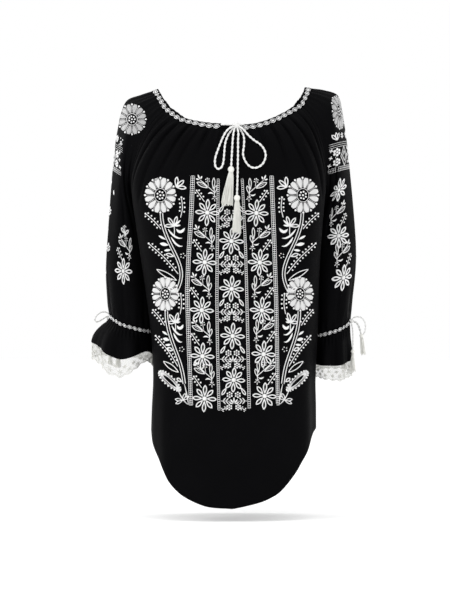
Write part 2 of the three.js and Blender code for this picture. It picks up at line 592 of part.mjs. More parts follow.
// A band in the line of an edge: a closed ring with a section given as (along, out).
function band(name, ring, section, colour) {
  const n = ring.length, points = [], faces = [];
  ring.forEach(({ p, e, n: out }) => section.forEach(([a, b]) => {
    points.push(add(add(add(p, out, -WALL / 2), e, a), out, b));
  }));
  const k = section.length;
  for (let i = 0; i < n; i++) {
    for (let j = 0; j < k; j++) {
      const a = i * k + j, b = i * k + (j + 1) % k, c = ((i + 1) % n) * k + (j + 1) % k,
        d = ((i + 1) % n) * k + j;
      faces.push([a, b, c], [a, c, d]);
    }
  }
  const volume = faces.reduce((v, [a, b, c]) => v + dot(points[a], cross(points[b], points[c])), 0);
  solid(name, points, volume > 0 ? faces : faces.map(([a, b, c]) => [a, c, b]), colour);
}
// The edge's points with its smoothed direction away from the cloth and its normal.
function edgeRing(list) {
  const n = list.length, wide = 3;
  return list.map((_, i) => {
    let e = [0, 0, 0], out = [0, 0, 0];
    for (let k = -wide; k <= wide; k++) {
      const q = list[(i + k + n) % n];
      e = add(e, unit(sub(q.p, q.q)));
      out = add(out, q.n);
    }
    out = unit(out);
    e = unit(add(e, out, -dot(e, out)));
    return { p: list[i].p, e, n: out };
  });
}
const rowEdge = (p, i, j, step) => ({ p: p.rows[i][j], q: p.rows[i + step][j], n: p.n[i][j] });
const neckEdge = [];
for (let j = 0; j < FRONT_COLS; j++) neckEdge.push(rowEdge(front, 0, j, 1));
for (let j = 0; j < SLEEVE_COLS; j++) neckEdge.push(rowEdge(sleeves.right, 0, j, 1));
for (let j = 0; j < BACK_COLS; j++) neckEdge.push(rowEdge(back, 0, j, 1));
for (let j = SLEEVE_COLS; j > 0; j--) neckEdge.push(rowEdge(sleeves.left, 0, j, 1));
const neckRing = edgeRing(neckEdge);
const half = BINDING_THICK / 2;
band('neck_binding', neckRing, [[0.45, -half * 0.8], [0.45, half * 0.8], [5, half],
  [BINDING_HEIGHT, half * 0.55], [BINDING_HEIGHT, -half * 0.55], [5, -half]], BLACK);

// ---- cuffs ---------------------------------------------------------------------------
for (const [side, s] of Object.entries(sleeves)) {
  const R = s.rows.length - 1, out = side === 'left' ? -1 : 1, c = CUFF[side];
  const ring = edgeRing(Array.from({ length: SLEEVE_COLS }, (_, j) => rowEdge(s, R, j, -1)));
  const t = BAND_THICK / 2;
  band(`cuff_band_${side}`, ring, [[0.6, -t * 0.85], [0.6, t * 0.85], [BAND_HEIGHT / 2, t],
    [BAND_HEIGHT, t * 0.85], [BAND_HEIGHT, -t * 0.85]], BLACK);
  const edge = ring.map((r) => add(r.p, r.e, BAND_HEIGHT + 0.62));
  const round = line(edge, true), away = line(ring.map((r) => r.n), true);
  const mid = scale(edge.reduce((a, b) => add(a, b)), 1 / edge.length);
  // A point on the ruffle: u round the cuff, s from its gathered edge (0) to its hem (1).
  const point = (u, k) => {
    const p = round(u), a = 2 * Math.PI * u;
    const outer = (1 - Math.cos(a)) / 2, ahead = Math.max(0, Math.sin(a));
    const length = c.inner + (c.outer - c.inner) * outer + c.ahead * ahead * Math.min(1, outer * 1.6)
      + c.dips.reduce((sum, [at, rise, wide]) => sum + rise * Math.exp(-(((u - at) / wide) ** 2)), 0);
    const free = smooth(0.02, 0.3, outer);
    const n = unit([p[0] - mid[0], p[1] - mid[1], 0]);
    const flare = (c.flareOut * outer ** 2 + c.flareFront * ahead)
      * Math.sin(Math.min(k / 1.05, 1) * Math.PI / 2) ** 1.2;
    const wave = c.wave * (0.12 + 0.88 * smooth(0, 1.1, k)) * (0.15 + 0.85 * free)
      * (0.6 + Math.cos(2 * Math.PI * c.waves * u + c.turn + 0.5 * Math.sin(a)));
    const down = Math.sqrt(Math.max(0.2, 1 - (flare / (length * Math.max(k, 0.3))) ** 2)) * length * k;
    return add(add(p, n, Math.max(0, flare) + Math.max(-0.4, wave) * smooth(0, 0.25, k) * free
      + 0.2), [0, 0, -1], down);
  };
  const grid = (cols, rows, from, to) => Array.from({ length: rows + 1 }, (_, i) => {
    const row = Array.from({ length: cols }, (_, j) => point(j / cols, from + (to - from) * i / rows));
    return [...row, row[0]];
  });
  const facing = (g) => {
    let n = normals(g, 0);
    const j = Math.round(g[0].length / 2);
    if (n[1][j][0] * out < 0) n = n.map((r) => r.map((v) => scale(v, -1)));
    return n;
  };
  const ruffle = grid(CUFF_COLS, 4, 0, 1);
  wall(`cuff_ruffle_${side}`, ruffle, facing(ruffle), 1.2, BLACK, 0);
  const over = 0.22, to = 1 + 25 / (c.inner + c.outer) * 2;
  const lace = grid(CUFF_COLS, 3, 1 - over, to), ln = facing(lace);
  const inner = lace.map((row, i) => row.map((p, j) => add(p, ln[i][j], -1.2 - 0.72)));
  wall(`lace_edging_${side}`, inner, ln, LACE_WALL, LACE, 0);
}

// ---- cords, knots and tassels --------------------------------------------------------
function cord(name, route, thick, colour = WHITE) {
  const path = new THREE.CatmullRomCurve3(route.map((p) => new THREE.Vector3(...p)), false, 'centripetal');
  const shape = new THREE.Shape(Array.from({ length: 8 }, (_, i) => new THREE.Vector2(
    Math.cos(i * Math.PI / 4) * thick / 2, Math.sin(i * Math.PI / 4) * thick / 2)));
  const steps = Math.min(80, Math.max(4, Math.round(path.getLength() / (thick * (thick < 3 ? 3 : 2)))));
  const geo = new THREE.ExtrudeGeometry(shape, { steps, bevelEnabled: false, extrudePath: path });
  const mesh = new THREE.Mesh(geo, outline(`${name}_finish`, colour));
  mesh.name = name;
  group.add(mesh);
}
// Sets one end of a cord's line 0.3 mm off a round knot or head, with its end face clear.
function seat(route, at, centre, radius, thick) {
  const out = unit(sub(route[at], centre)), next = route[at === 0 ? 1 : at - 1];
  let d = radius + 0.3;
  for (let k = 0; k < 4; k++) {
    const lean = len(cross(unit(sub(next, add(centre, out, d))), out));
    d = radius + 0.3 + thick / 2 * lean;
  }
  const p = [...route];
  p[at] = add(centre, out, d);
  return p;
}
function fromManifold(name, m) {
  const mesh = m.getMesh(), points = [], faces = [];
  for (let i = 0; i < mesh.numVert; i++) {
    points.push([0, 1, 2].map((k) => mesh.vertProperties[i * mesh.numProp + k]));
  }
  for (let i = 0; i < mesh.numTri; i++) faces.push([...mesh.triVerts.slice(3 * i, 3 * i + 3)]);
  solid(name, points, faces, WHITE);
}
function toManifold(points, faces) {
  return new Manifold(new Mesh({ numProp: 3, vertProperties: new Float32Array(points.flat()),
    triVerts: new Uint32Array(faces.flat()) }));
}
// A closed sweep along a route whose radius changes.
function swell(route, radii, sides) {
  const points = [], faces = [];
  route.forEach((p, i) => {
    const t = unit(sub(route[Math.min(i + 1, route.length - 1)], route[Math.max(i - 1, 0)]));
    const a = unit(cross(t, [0, 0, 1])), b = cross(t, a);
    for (let k = 0; k < sides; k++) {
      const w = 2 * Math.PI * k / sides;
      points.push(add(add(p, a, Math.cos(w) * radii[i]), b, Math.sin(w) * radii[i]));
    }
  });
  for (let i = 0; i < route.length - 1; i++) {
    for (let k = 0; k < sides; k++) {
      const a = i * sides + k, b = i * sides + (k + 1) % sides;
      faces.push([a, b, b + sides], [a, b + sides, a + sides]);
    }
  }
  const n = (route.length - 1) * sides;
  for (let k = 1; k < sides - 1; k++) faces.push([0, k + 1, k], [n, n + k, n + k + 1]);
  const volume = faces.reduce((v, [a, b, c]) => v + dot(points[a], cross(points[b], points[c])), 0);
  return toManifold(points, volume > 0 ? faces : faces.map(([a, b, c]) => [a, c, b]));
}
// A head with strands fanned out below it, their roots in the head.
function tassel(name, t) {
  const small = t.strands < 20;
  const parts = [Manifold.sphere(t.head, small ? 8 : 12).scale([1, 0.95, 1.05]).translate(t.at)];
  const rings = t.strands > 20 ? [[0.28, 0.17], [0.62, 0.33], [0.97, 0.5]] : [[0.3, 0.3], [0.9, 0.7]];
  let done = 0;
  rings.forEach(([r, share], ring) => {
    const n = ring === rings.length - 1 ? t.strands - done : Math.round(t.strands * share);
    done += n;
    for (let k = 0; k < n; k++) {
      const w = 2 * Math.PI * (k + ring * 0.37) / n, x = Math.cos(w) * r, y = Math.sin(w) * r;
      const long = t.skirt * (0.97 + 0.03 * Math.sin(5 * k + ring));
      const stops = [[0, -t.head * 0.45], [0.25, -t.head * 0.45 - long * 0.3], [1, -t.head * 0.45 - long]];
      if (small) stops.splice(1, 1);
      const points = [], faces = [];
      stops.forEach(([drift, z], i) => {
        const spreadX = i === 0 ? t.head * 0.66 : t.head * 0.75 * (1 - drift) + t.wide * drift;
        const spreadY = i === 0 ? t.head * 0.62 : t.head * 0.7 * (1 - drift) + t.deep * drift;
        const c = add(t.at, [x * spreadX + t.drift * drift,
          y * spreadY + t.lean * drift, z]);
        for (let q = 0; q < 3; q++) {
          const a = 2 * Math.PI * q / 3 + k;
          points.push(add(c, [Math.cos(a) * t.thick / 2, Math.sin(a) * t.thick / 2, 0]));
        }
      });
      for (let i = 0; i < stops.length - 1; i++) {
        for (let q = 0; q < 3; q++) {
          const a = i * 3 + q, b = i * 3 + (q + 1) % 3;
          faces.push(a, b + 3, b, a, a + 3, b + 3);
        }
      }
      const end = 3 * (stops.length - 1);
      faces.push(0, 1, 2, end, end + 2, end + 1);
      parts.push(toManifold(points, faces));
    }
  });
  fromManifold(name, Manifold.union(parts));
}
const bowAt = BOW.knot[3];
fromManifold('bow_knot', Manifold.union([
  swell(BOW.knot, BOW.knotRadius, 8), Manifold.sphere(BOW.round, 16).translate(bowAt)]));
for (const [name, head] of [['loop_left', null], ['loop_right', null],
  ['end_left', TASSEL.tassel_left], ['end_right', TASSEL.tassel_right]]) {
  let route = seat(BOW[name], 0, bowAt, BOW.round, CORD);
  if (head) route = seat(route, route.length - 1, head.at, head.head * 1.05, CORD);
  cord(`bow_${name}`, route, CORD);
}
for (const [name, t] of Object.entries(TASSEL)) tassel(name, t);
for (const [side, t] of Object.entries(TIE)) {
  fromManifold(`tie_knot_${side}`, Manifold.sphere(t.radius, 12).translate(t.knot));
  for (const k of ['loop', 'end_a', 'end_b']) {
    const head = t[k.replace('end', 'tassel')];
    let route = seat(t[k], 0, t.knot, t.radius, TIE_CORD);
    if (k !== 'loop') route = seat(route, route.length - 1, head.at, head.head * 1.05, TIE_CORD);
    cord(`tie_${k}_${side}`, route, TIE_CORD);
  }
  for (const k of ['a', 'b']) tassel(`tie_tassel_${k}_${side}`, t[`tassel_${k}`]);
}

export default group;
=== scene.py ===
# %% [markdown]
# # An embroidered folk blouse
# A black raglan blouse, worn but with no wearer: four cloth panels are gathered into a bound
# neck, a white drawstring ties in front, the cuffs have a ruffle edged with lace, and white
# embroidery covers the front and the sleeves. Every piece is built in place round the
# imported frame, in metres, with +Z up and the front facing -Y.

# %% Load the frame
import math
import random

import bpy
import numpy as np
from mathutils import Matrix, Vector
from mathutils.bvhtree import BVHTree


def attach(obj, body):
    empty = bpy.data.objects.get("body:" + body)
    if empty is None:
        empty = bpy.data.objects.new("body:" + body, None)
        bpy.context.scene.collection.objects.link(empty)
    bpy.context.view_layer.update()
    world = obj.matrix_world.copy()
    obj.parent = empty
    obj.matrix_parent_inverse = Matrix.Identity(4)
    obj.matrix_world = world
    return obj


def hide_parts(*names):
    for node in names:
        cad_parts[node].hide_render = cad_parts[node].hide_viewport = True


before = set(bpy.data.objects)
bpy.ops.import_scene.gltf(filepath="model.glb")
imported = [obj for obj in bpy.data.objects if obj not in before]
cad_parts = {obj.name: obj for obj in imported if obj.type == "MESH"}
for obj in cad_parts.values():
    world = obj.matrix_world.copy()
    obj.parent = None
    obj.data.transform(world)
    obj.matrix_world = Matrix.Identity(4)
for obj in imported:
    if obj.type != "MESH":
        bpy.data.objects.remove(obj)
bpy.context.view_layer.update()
MM = 0.001
random.seed(7)
print("frame:", len(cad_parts), "nodes")

# %% [markdown]
# ## Camera
# The camera comes first, because the drawstring and the pattern are laid out as they are
# seen from it. A long lens from a few metres keeps the garment's sides straight.

# %% Camera
PLANE_Y = -60.0                     # the plane that the frame's width is measured in
DISTANCE = 4500.0                   # from the camera to that plane
CAMERA = np.array([-11.7, PLANE_Y - DISTANCE, -379.8])
VIEW_HEIGHT = 1080.0
SENSOR = 36.0

cam = bpy.data.objects.new("camera", bpy.data.cameras.new("camera"))
bpy.context.scene.collection.objects.link(cam)
cam.location = CAMERA * MM
cam.rotation_euler = (math.pi / 2, 0, 0)
cam.data.sensor_width = SENSOR
cam.data.lens = SENSOR * DISTANCE / VIEW_HEIGHT
cam.data.clip_end = 50.0
bpy.context.scene.camera = cam
print("camera: lens %.0f mm, %.1f m away" % (cam.data.lens, DISTANCE * MM))

# %% [markdown]
# ## Shader maths
# One small class wraps a node socket. Python's own operators then add Math nodes, so a
# material reads like a formula. `add` makes any other node from its type, its settings and
# the values or links of its sockets.

# %% Socket class
class Wire:
    def __init__(self, tree, socket):
        self.tree, self.socket = tree, socket

    def maths(self, kind, other=None, swap=False):
        values = [self, other] if other is not None else [self]
        if swap:
            values.reverse()
        return add(self.tree, "ShaderNodeMath", {"operation": kind}, dict(enumerate(values)))

    def __add__(self, o): return self.maths("ADD", o)
    def __radd__(self, o): return self.maths("ADD", o, True)
    def __mul__(self, o): return self.maths("MULTIPLY", o)
    def __rmul__(self, o): return self.maths("MULTIPLY", o, True)
    def sine(self): return self.maths("SINE")


def add(tree, kind, settings=None, sockets=None, out=0):
    """A node of that type, with its settings first and then its sockets."""
    node = tree.nodes.new(kind)
    for name, value in (settings or {}).items():
        setattr(node, name, value)
    for name, value in (sockets or {}).items():
        socket = node.inputs[name]
        if isinstance(value, Wire):
            tree.links.new(value.socket, socket)
        else:
            socket.default_value = value
    return Wire(tree, node.outputs[out])


def blend_colours(tree, share, a, b):
    """A colour between two, by a share that varies over the surface."""
    return add(tree, "ShaderNodeMix", {"data_type": "RGBA"},
               {0: share, 6: (*a, 1), 7: (*b, 1)}, out=2)


def finish_of(name, build, **fixed):
    """A material: `fixed` sets uniform sockets, `build` returns what varies by socket."""
    m = bpy.data.materials.new(name)
    m.use_nodes = True
    tree = m.node_tree
    shader = tree.nodes["Principled BSDF"]
    for socket, value in fixed.items():
        shader.inputs[socket.replace("_", " ")].default_value = value
    for socket, wire in build(tree).items():
        tree.links.new(wire.socket, shader.inputs[socket])
    print("finish:", name)
    return m


# %% [markdown]
# ## The finishes
# The cloth is a light black viscose in plain weave: dark, half matt, with a soft sheen where
# it turns away. The thread is bright cotton, so each stitch catches a little light. The
# bump is kept far below a millimetre, at the scale of real yarns.

# %% Black cloth
OBJECT_COORDS = 3                   # that output of the Texture Coordinate node
YARN = 0.0007                       # the weave's repeat, in metres


def axes(tree):
    place = add(tree, "ShaderNodeTexCoord", out=OBJECT_COORDS)
    split = tree.nodes.new("ShaderNodeSeparateXYZ")
    tree.links.new(place.socket, split.inputs[0])
    return place, [Wire(tree, split.outputs[k]) for k in range(3)]


def noise(tree, place, scale, detail=2.0):
    return add(tree, "ShaderNodeTexNoise", {}, {"Vector": place, "Scale": scale, "Detail": detail})


def bump(tree, height, distance, strength=1.0):
    return add(tree, "ShaderNodeBump", {}, {"Height": height, "Distance": distance,
                                            "Strength": strength})


def black_weave(tree):
    place, (x, y, z) = axes(tree)
    yarn = 2 * math.pi / YARN
    weave = ((x + y * 0.7) * yarn).sine() * (z * yarn).sine()
    slub = noise(tree, place, 900.0)
    patches = noise(tree, place, 14.0)
    return {
        "Base Color": blend_colours(tree, patches, (0.0012, 0.0012, 0.0015), (0.0026, 0.0026, 0.0031)),
        "Roughness": 0.56 + 0.12 * patches + 0.05 * slub,
        "Normal": bump(tree, weave * 0.5 + slub, 0.00012, 0.5),
    }


BLACK = finish_of("black_viscose", black_weave, Sheen_Weight=0.0, Specular_IOR_Level=0.025)

# %% [markdown]
# White thread is a bundle of fine fibres. A fine noise breaks up the highlight as the fibres
# do, and a coarser one lets the white vary a little. Only the numbers differ from thread to
# thread, so one function makes every look from a row of a table.

# %% Threads, cord and lace
def thread_look(light, dark, scale, depth, rough):
    def build(tree):
        place, _ = axes(tree)
        fibre = noise(tree, place, scale, 3.0)
        cloud = noise(tree, place, scale / 12.0, 2.0)
        share = fibre * 0.6 + cloud * 0.4
        return {
            "Base Color": blend_colours(tree, share, dark, light),
            "Roughness": rough + 0.15 * fibre,
            "Normal": bump(tree, fibre, depth, 0.6),
        }
    return build


# name, light and dark grey of red, green and blue, noise scale, depth, roughness, sheen
THREAD_LOOKS = [
    ("embroidery_cotton", (0.92, 0.92, 0.92), (0.66, 0.66, 0.66), 2600.0, 0.00025, 0.5, 0.1),
    ("trim_satin_stitch", (0.8, 0.8, 0.8), (0.48, 0.48, 0.48), 2200.0, 0.0002, 0.42, 0.1),
    ("petal_satin_stitch", (0.56, 0.56, 0.56), (0.14, 0.14, 0.14), 1500.0, 0.0002, 0.42, 0.1),
    ("cotton_cord", (0.9, 0.9, 0.89), (0.62, 0.62, 0.61), 1800.0, 0.0003, 0.6, 0.15),
    ("tassel_yarn", (0.92, 0.92, 0.89), (0.6, 0.6, 0.55), 2000.0, 0.0003, 0.55, 0.2),
    ("lace_cotton", (0.80, 0.80, 0.76), (0.55, 0.55, 0.51), 2400.0, 0.0002, 0.6, 0.15),
]
THREAD, SATIN, PETAL, CORD, TASSEL, LACE = [
    finish_of(name, thread_look(*look), Sheen_Weight=sheen) for name, *look, sheen in THREAD_LOOKS]

# %% [markdown]
# ## Smooth lines and tables
# The garment's form comes from short tables in millimetres: the neck line, the raglan
# seams, sections of the body and of the sleeves. `line` runs a smooth curve through
# points, and `column` reads a table smoothly between its rows.

# %% Lines and tables
def lengths(path):
    """How far along the path each of its points lies."""
    return np.r_[0, np.cumsum(np.linalg.norm(np.diff(path, axis=0), axis=1))]


def line(points, closed=False):
    """A smooth curve through the points: a function of a share of its length."""
    p = np.array(points, float)
    if closed:
        p = np.vstack([p, p[:1]])
    key = lengths(p)
    i = np.arange(len(p))
    a, b = np.maximum(i - 1, 0), np.minimum(i + 1, len(p) - 1)
    slope = (p[b] - p[a]) / (key[b] - key[a])[:, None]
    if closed:
        slope[0] = slope[-1] = (p[1] - p[-2]) / (key[1] + key[-1] - key[-2])

    def at(t):
        s = np.clip(np.asarray(t, float), 0, 1) * key[-1]
        k = np.clip(np.searchsorted(key, s) - 1, 0, len(p) - 2)
        h = (key[k + 1] - key[k])[..., None]
        x = (s - key[k])[..., None] / h
        return ((2 * x**3 - 3 * x**2 + 1) * p[k] + (3 * x**2 - 2 * x**3) * p[k + 1]
                + h * ((x**3 - 2 * x**2 + x) * slope[k] + (x**3 - x**2) * slope[k + 1]))
    at.length = key[-1]
    return at


def column(rows, s):
    """The table's row at s, read smoothly between its rows; their first column is the key."""
    rows = np.asarray(rows, float)
    key = rows[:, 0]
    way = np.sign(key[-1] - key[0])
    i = 0
    while i < len(rows) - 2 and (key[i + 1] - s) * way < 0:
        i += 1
    a, d = max(i - 1, 0), min(i + 2, len(rows) - 1)
    b, c, h = rows[i], rows[i + 1], key[i + 1] - key[i]
    x = min(1, max(0, (s - key[i]) / h))
    return ((2 * x**3 - 3 * x**2 + 1) * b + (3 * x**2 - 2 * x**3) * c
            + h * ((x**3 - 2 * x**2 + x) * (c - rows[a]) / (c[0] - rows[a][0])
                   + (x**3 - x**2) * (rows[d] - b) / (rows[d][0] - b[0])))


def smooth(a, b, x):
    """Rises softly from 0 at a to 1 at b."""
    t = np.clip((x - a) / (b - a), 0, 1)
    return t * t * (3 - 2 * t)


def unit(v):
    return v / np.maximum(np.linalg.norm(v, axis=-1, keepdims=True), 1e-9)


# %% [markdown]
# ## The cut
# These are the garment's own sizes, the same ones that the frame was made from. The origin
# lies in the neck opening, level with its two tips.

# %% Sizes of the garment
ARMPIT_Z = -212.0
FRONT_COLS, BACK_COLS, SLEEVE_COLS = 40, 26, 22
YOKE_ROWS, BODY_ROWS, ARM_ROWS = 9, 9, 8
FINE = 6                            # fine columns and rows to each coarse one
NECK = {
    "front": [[-121, -53, -37], [-91, -77, -58], [-39, -96, -71], [1, -100, -74],
              [42, -96, -74], [77, -85, -63], [110, -63, -44], [129, -43, -29]],
    "right": [[129, -43, -29], [139, -24, -8], [143, 0, 5], [137, 25, -8], [120, 45, -29]],
    "back": [[120, 45, -29], [78, 67, -54], [0, 80, -66], [-78, 67, -55], [-118, 46, -31]],
    "left": [[-118, 46, -31], [-134, 26, -12], [-142, 0, 0], [-135, -29, -13], [-121, -53, -37]],
}
SEAM = {
    "front_left": [[-121, -53, -37], [-147, -68, -65], [-168, -67, -108], [-181, -48, -158],
                   [-176, -18, -197], [-158, 10, ARMPIT_Z]],
    "front_right": [[129, -43, -29], [152, -62, -60], [166, -64, -106], [172, -46, -156],
                    [168, -18, -196], [154, 10, ARMPIT_Z]],
    "back_left": [[-118, 46, -31], [-144, 68, -58], [-166, 72, -104], [-178, 56, -156],
                  [-173, 34, -196], [-158, 10, ARMPIT_Z]],
    "back_right": [[120, 45, -29], [146, 66, -56], [162, 71, -104], [171, 55, -156],
                   [167, 34, -196], [154, 10, ARMPIT_Z]],
}
SHOULDER = {
    "left": [[-142, 0, 0], [-171, 2, -9], [-188, 3, -14.5], [-197, 4, -26], [-206, 5, -60],
             [-213, 6, -94], [-218.5, 8, -145], [-222.5, 10, -188]],
    "right": [[143, 0, 5], [174, 2, 1], [189, 3, -3], [196, 4, -11], [204, 5, -48],
              [211, 6, -88], [217, 8, -136], [222, 10, -188]],
}
# height, front, back, left and right reach and their depth, side seams, back reach and depth
BODY = [
    [-212, -123, 99, -181, 166, -52, -158, 154, 10, -160, 156, 58],
    [-245, -125, 101, -177, 165, -54, -146, 142, 10, -155, 151, 62],
    [-290, -122, 101, -169, 163, -52, -141, 139, 12, -151, 148, 64],
    [-350, -118, 99, -159, 160, -44, -138, 138, 16, -145, 144, 64],
    [-434, -115, 97, -147, 155, -30, -137, 139, 22, -138, 138, 62],
    [-515, -114, 97, -142, 150, -24, -137, 142, 22, -134, 138, 60],
    [-607, -112, 98, -145, 152, -22, -140, 148, 22, -132, 140, 60],
    [-690, -111, 98, -143, 148, -22, -139, 145, 22, -130, 136, 60],
    [-760, -110, 98, -140, 144, -22, -138, 141, 22, -128, 134, 60],
]
# height of the hem at a share of the way from a panel's middle to its side
HEM = {
    "front_left": [[0, -752], [0.18, -749], [0.29, -741], [0.37, -732], [0.43, -722], [0.5, -704],
                   [0.55, -686], [0.61, -668], [0.68, -650], [0.75, -632], [0.84, -615], [1, -604]],
    "front_right": [[0, -752], [0.07, -749], [0.22, -740], [0.31, -731], [0.37, -722],
                    [0.44, -704], [0.5, -686], [0.55, -668], [0.61, -650], [0.68, -630],
                    [0.78, -614], [1, -602]],
    "back": [[0, -740], [0.2, -736], [0.36, -718], [0.5, -684], [0.62, -650], [0.75, -624],
             [0.88, -611], [1, -606]],
}
# outer and inner reach, front, back, height, rise of the outer side, drop of the front
ARM = {
    "left": [[-223, -152, -30, 62, -246, 6, 4], [-228, -150, -28, 70, -290, 6, 4],
             [-229, -147, -24, 77, -340, 8, 5], [-226, -145, -16, 82, -388, 11, 7],
             [-223, -144, -8, 84, -417, 14, 9]],
    "right": [[225, 150, -30, 62, -246, 6, 4], [229, 148, -28, 70, -290, 6, 4],
              [226, 148, -24, 77, -340, 8, 5], [220, 148, -16, 82, -392, 11, 6],
              [217, 148, -8, 84, -428, 13, 7]],
}
ARMPIT_RING = {
    "left": [[-158, 10, ARMPIT_Z], [-179, -14, -211], [-199, -32, -202], [-222.5, 10, -188],
             [-199, 56, -202], [-179, 36, -211]],
    "right": [[154, 10, ARMPIT_Z], [173, -14, -211], [195, -32, -202], [222, 10, -188],
              [197, 56, -202], [175, 36, -211]],
}
neck = {k: line(v) for k, v in NECK.items()}
seam = {k: line(v) for k, v in SEAM.items()}
print("neck line: %.0f mm round" % sum(n.length for n in neck.values()))

# %% [markdown]
# ## Panels as grids
# Each panel is a grid of points: columns run across it and rows run down. Above the armpit
# it is a patch stretched between the neck, two raglan seams and the body's section. The
# grid is ironed where the two parts meet, then refined to a few millimetres.

# %% Body and sleeve grids
# the section's round corners: share of the side's reach, share of the way to the middle
FRONT_BEND = [(0.86, 0.62), (0.5, 0.93)]
BACK_BEND = [(0.8, 0.7), (0.42, 0.96)]


def bend(reach, y, middle, corners):
    return [(reach * a, y + (middle - y) * b) for a, b in corners]


def body_ring(z, front_side):
    """The front or back half of the body's section at a height, from seam to seam."""
    _, front, back, lr, rr, ry, ls, rs, sy, lb, rb, by = column(BODY, z)
    if front_side:
        ring = [(ls, sy), (lr, ry), *bend(lr, ry, front, FRONT_BEND), (0, front),
                *bend(rr, ry, front, FRONT_BEND)[::-1], (rr, ry), (rs, sy)]
    else:
        ring = [(rs, sy), (rb, by), *bend(rb, by, back, BACK_BEND), (0, back),
                *bend(lb, by, back, BACK_BEND)[::-1], (lb, by), (ls, sy)]
    return line([(x, y, z) for x, y in ring])


def yoke(top, bottom, left, right, hold, middle):
    """A patch between four lines that also meets a middle line; hold keeps a seam's pull short."""
    def at(u, t):
        def plain(w):
            return ((1 - t) * top(w) + t * bottom(w)
                    + (left(t) - (1 - t) * top(0) - t * bottom(0)) * (1 - w) ** hold
                    + (right(t) - (1 - t) * top(1) - t * bottom(1)) * w ** hold)
        return plain(u) + (middle(t) - plain(0.5)) * (4 * u * (1 - u)) ** 1.5
    return at


def panel_grid(front):
    cols = FRONT_COLS if front else BACK_COLS
    chest = line([[1, -100, -74], [0, -109, -100], [0, -118, -150], [0, -123, ARMPIT_Z]] if front
                 else [[0, 80, -66], [0, 92, -99], [0, 98, -150], [0, 99, ARMPIT_Z]])
    up = yoke(neck["front" if front else "back"], body_ring(ARMPIT_Z, front),
              seam["front_left" if front else "back_right"],
              seam["front_right" if front else "back_left"], 3, chest)
    grid = np.zeros((YOKE_ROWS + BODY_ROWS + 1, cols + 1, 3))
    for i in range(len(grid)):
        for j in range(cols + 1):
            u = j / cols
            if i <= YOKE_ROWS:
                grid[i, j] = up(u, i / YOKE_ROWS)
                continue
            side = ("front_left" if u < 0.5 else "front_right") if front else "back"
            hem = column(HEM[side], abs(2 * u - 1))[1]
            z = ARMPIT_Z + ((i - YOKE_ROWS) / BODY_ROWS) ** 0.94 * (hem - ARMPIT_Z)
            grid[i, j] = body_ring(z, front)(u)
    return grid


def arm_ring(row, u):
    outer, inner, front, back, z, outer_up, front_down = row
    c, s = math.cos(2 * math.pi * u), math.sin(2 * math.pi * u)
    full = lambda x: math.copysign(abs(x) ** 0.9, x)
    return [(outer + inner) / 2 + (inner - outer) / 2 * full(c),
            (front + back) / 2 - (back - front) / 2 * full(s),
            z - outer_up * c - front_down * s]


def sleeve_grid(side):
    ring = line(ARMPIT_RING[side], True)
    top = neck[side] if side == "right" else (lambda u: neck["left"](1 - np.asarray(u)))
    up = yoke(top, ring, seam["front_" + side], seam["back_" + side], 2, line(SHOULDER[side]))
    grid = np.zeros((YOKE_ROWS + ARM_ROWS + 1, SLEEVE_COLS + 1, 3))
    for i in range(len(grid)):
        for j in range(SLEEVE_COLS + 1):
            if i <= YOKE_ROWS:
                grid[i, j] = up(j / SLEEVE_COLS, i / YOKE_ROWS)
                continue
            u = (j % SLEEVE_COLS) / SLEEVE_COLS
            stations = [ring(u), *(arm_ring(r, u) for r in ARM[side])]
            keys = [[k / len(ARM[side]), *p] for k, p in enumerate(stations)]
            grid[i, j] = column(keys, (i - YOKE_ROWS) / ARM_ROWS)[1:]
    return grid


def iron(g, times, sleeve):
    """Takes the break out of the grid where the yoke meets the rows below it."""
    rows, cols = g.shape[0] - 1, g.shape[1] - 1
    for _ in range(times):
        old = g.copy()
        for i in range(2, rows - 1):
            wrap = sleeve and i > YOKE_ROWS
            for j in range(0 if wrap else 1, cols):
                if sleeve and i == YOKE_ROWS and (j < 2 or j > cols - 2):
                    continue
                side = min(j, cols - j) / cols + (0.1 if i > YOKE_ROWS + 1 else 0)
                near = math.exp(-(((i - YOKE_ROWS) / 3.2) ** 2)) * smooth(0, 0.2, side)
                up, down = old[i - 1, j], old[i + 1, j]
                a = np.linalg.norm(up - old[i, j])
                b = np.linalg.norm(down - old[i, j])
                flat = up + (down - up) * a / (a + b)
                across = (old[i, cols - 1 if j == 0 else j - 1] + old[i, j + 1]) / 2
                g[i, j] += 0.6 * near * (0.75 * flat + 0.25 * across - old[i, j])
            if wrap:
                g[i, cols] = g[i, 0]
    return g


def refine(g, sleeve):
    """Smooth curves through the grid's points, FINE times as many each way."""
    def along(a, closed):
        ext = (np.concatenate([a[-2:-1], a, a[1:2]]) if closed
               else np.concatenate([2 * a[:1] - a[1:2], a, 2 * a[-1:] - a[-2:-1]]))
        out = []
        for q in range(FINE):
            x = q / FINE
            w = [(-x + 2 * x**2 - x**3) / 2, (2 - 5 * x**2 + 3 * x**3) / 2,
                 (x + 4 * x**2 - 3 * x**3) / 2, (x**3 - x**2) / 2]
            out.append(sum(w[m] * ext[m:len(ext) - 3 + m] for m in range(4)))
        fine = np.stack(out, axis=1).reshape(-1, *a.shape[1:])
        return np.concatenate([fine, a[-1:]])
    rows = [along(row, sleeve and i >= YOKE_ROWS) for i, row in enumerate(g)]
    return along(np.array(rows), False)


def normals(g, wrap_from=None):
    dn = np.gradient(g, axis=0)
    ac = np.gradient(g, axis=1)
    if wrap_from is not None:
        seam_across = (g[wrap_from:, 1] - g[wrap_from:, -2]) / 2
        ac[wrap_from:, 0] = ac[wrap_from:, -1] = seam_across
    return unit(np.cross(dn, ac))


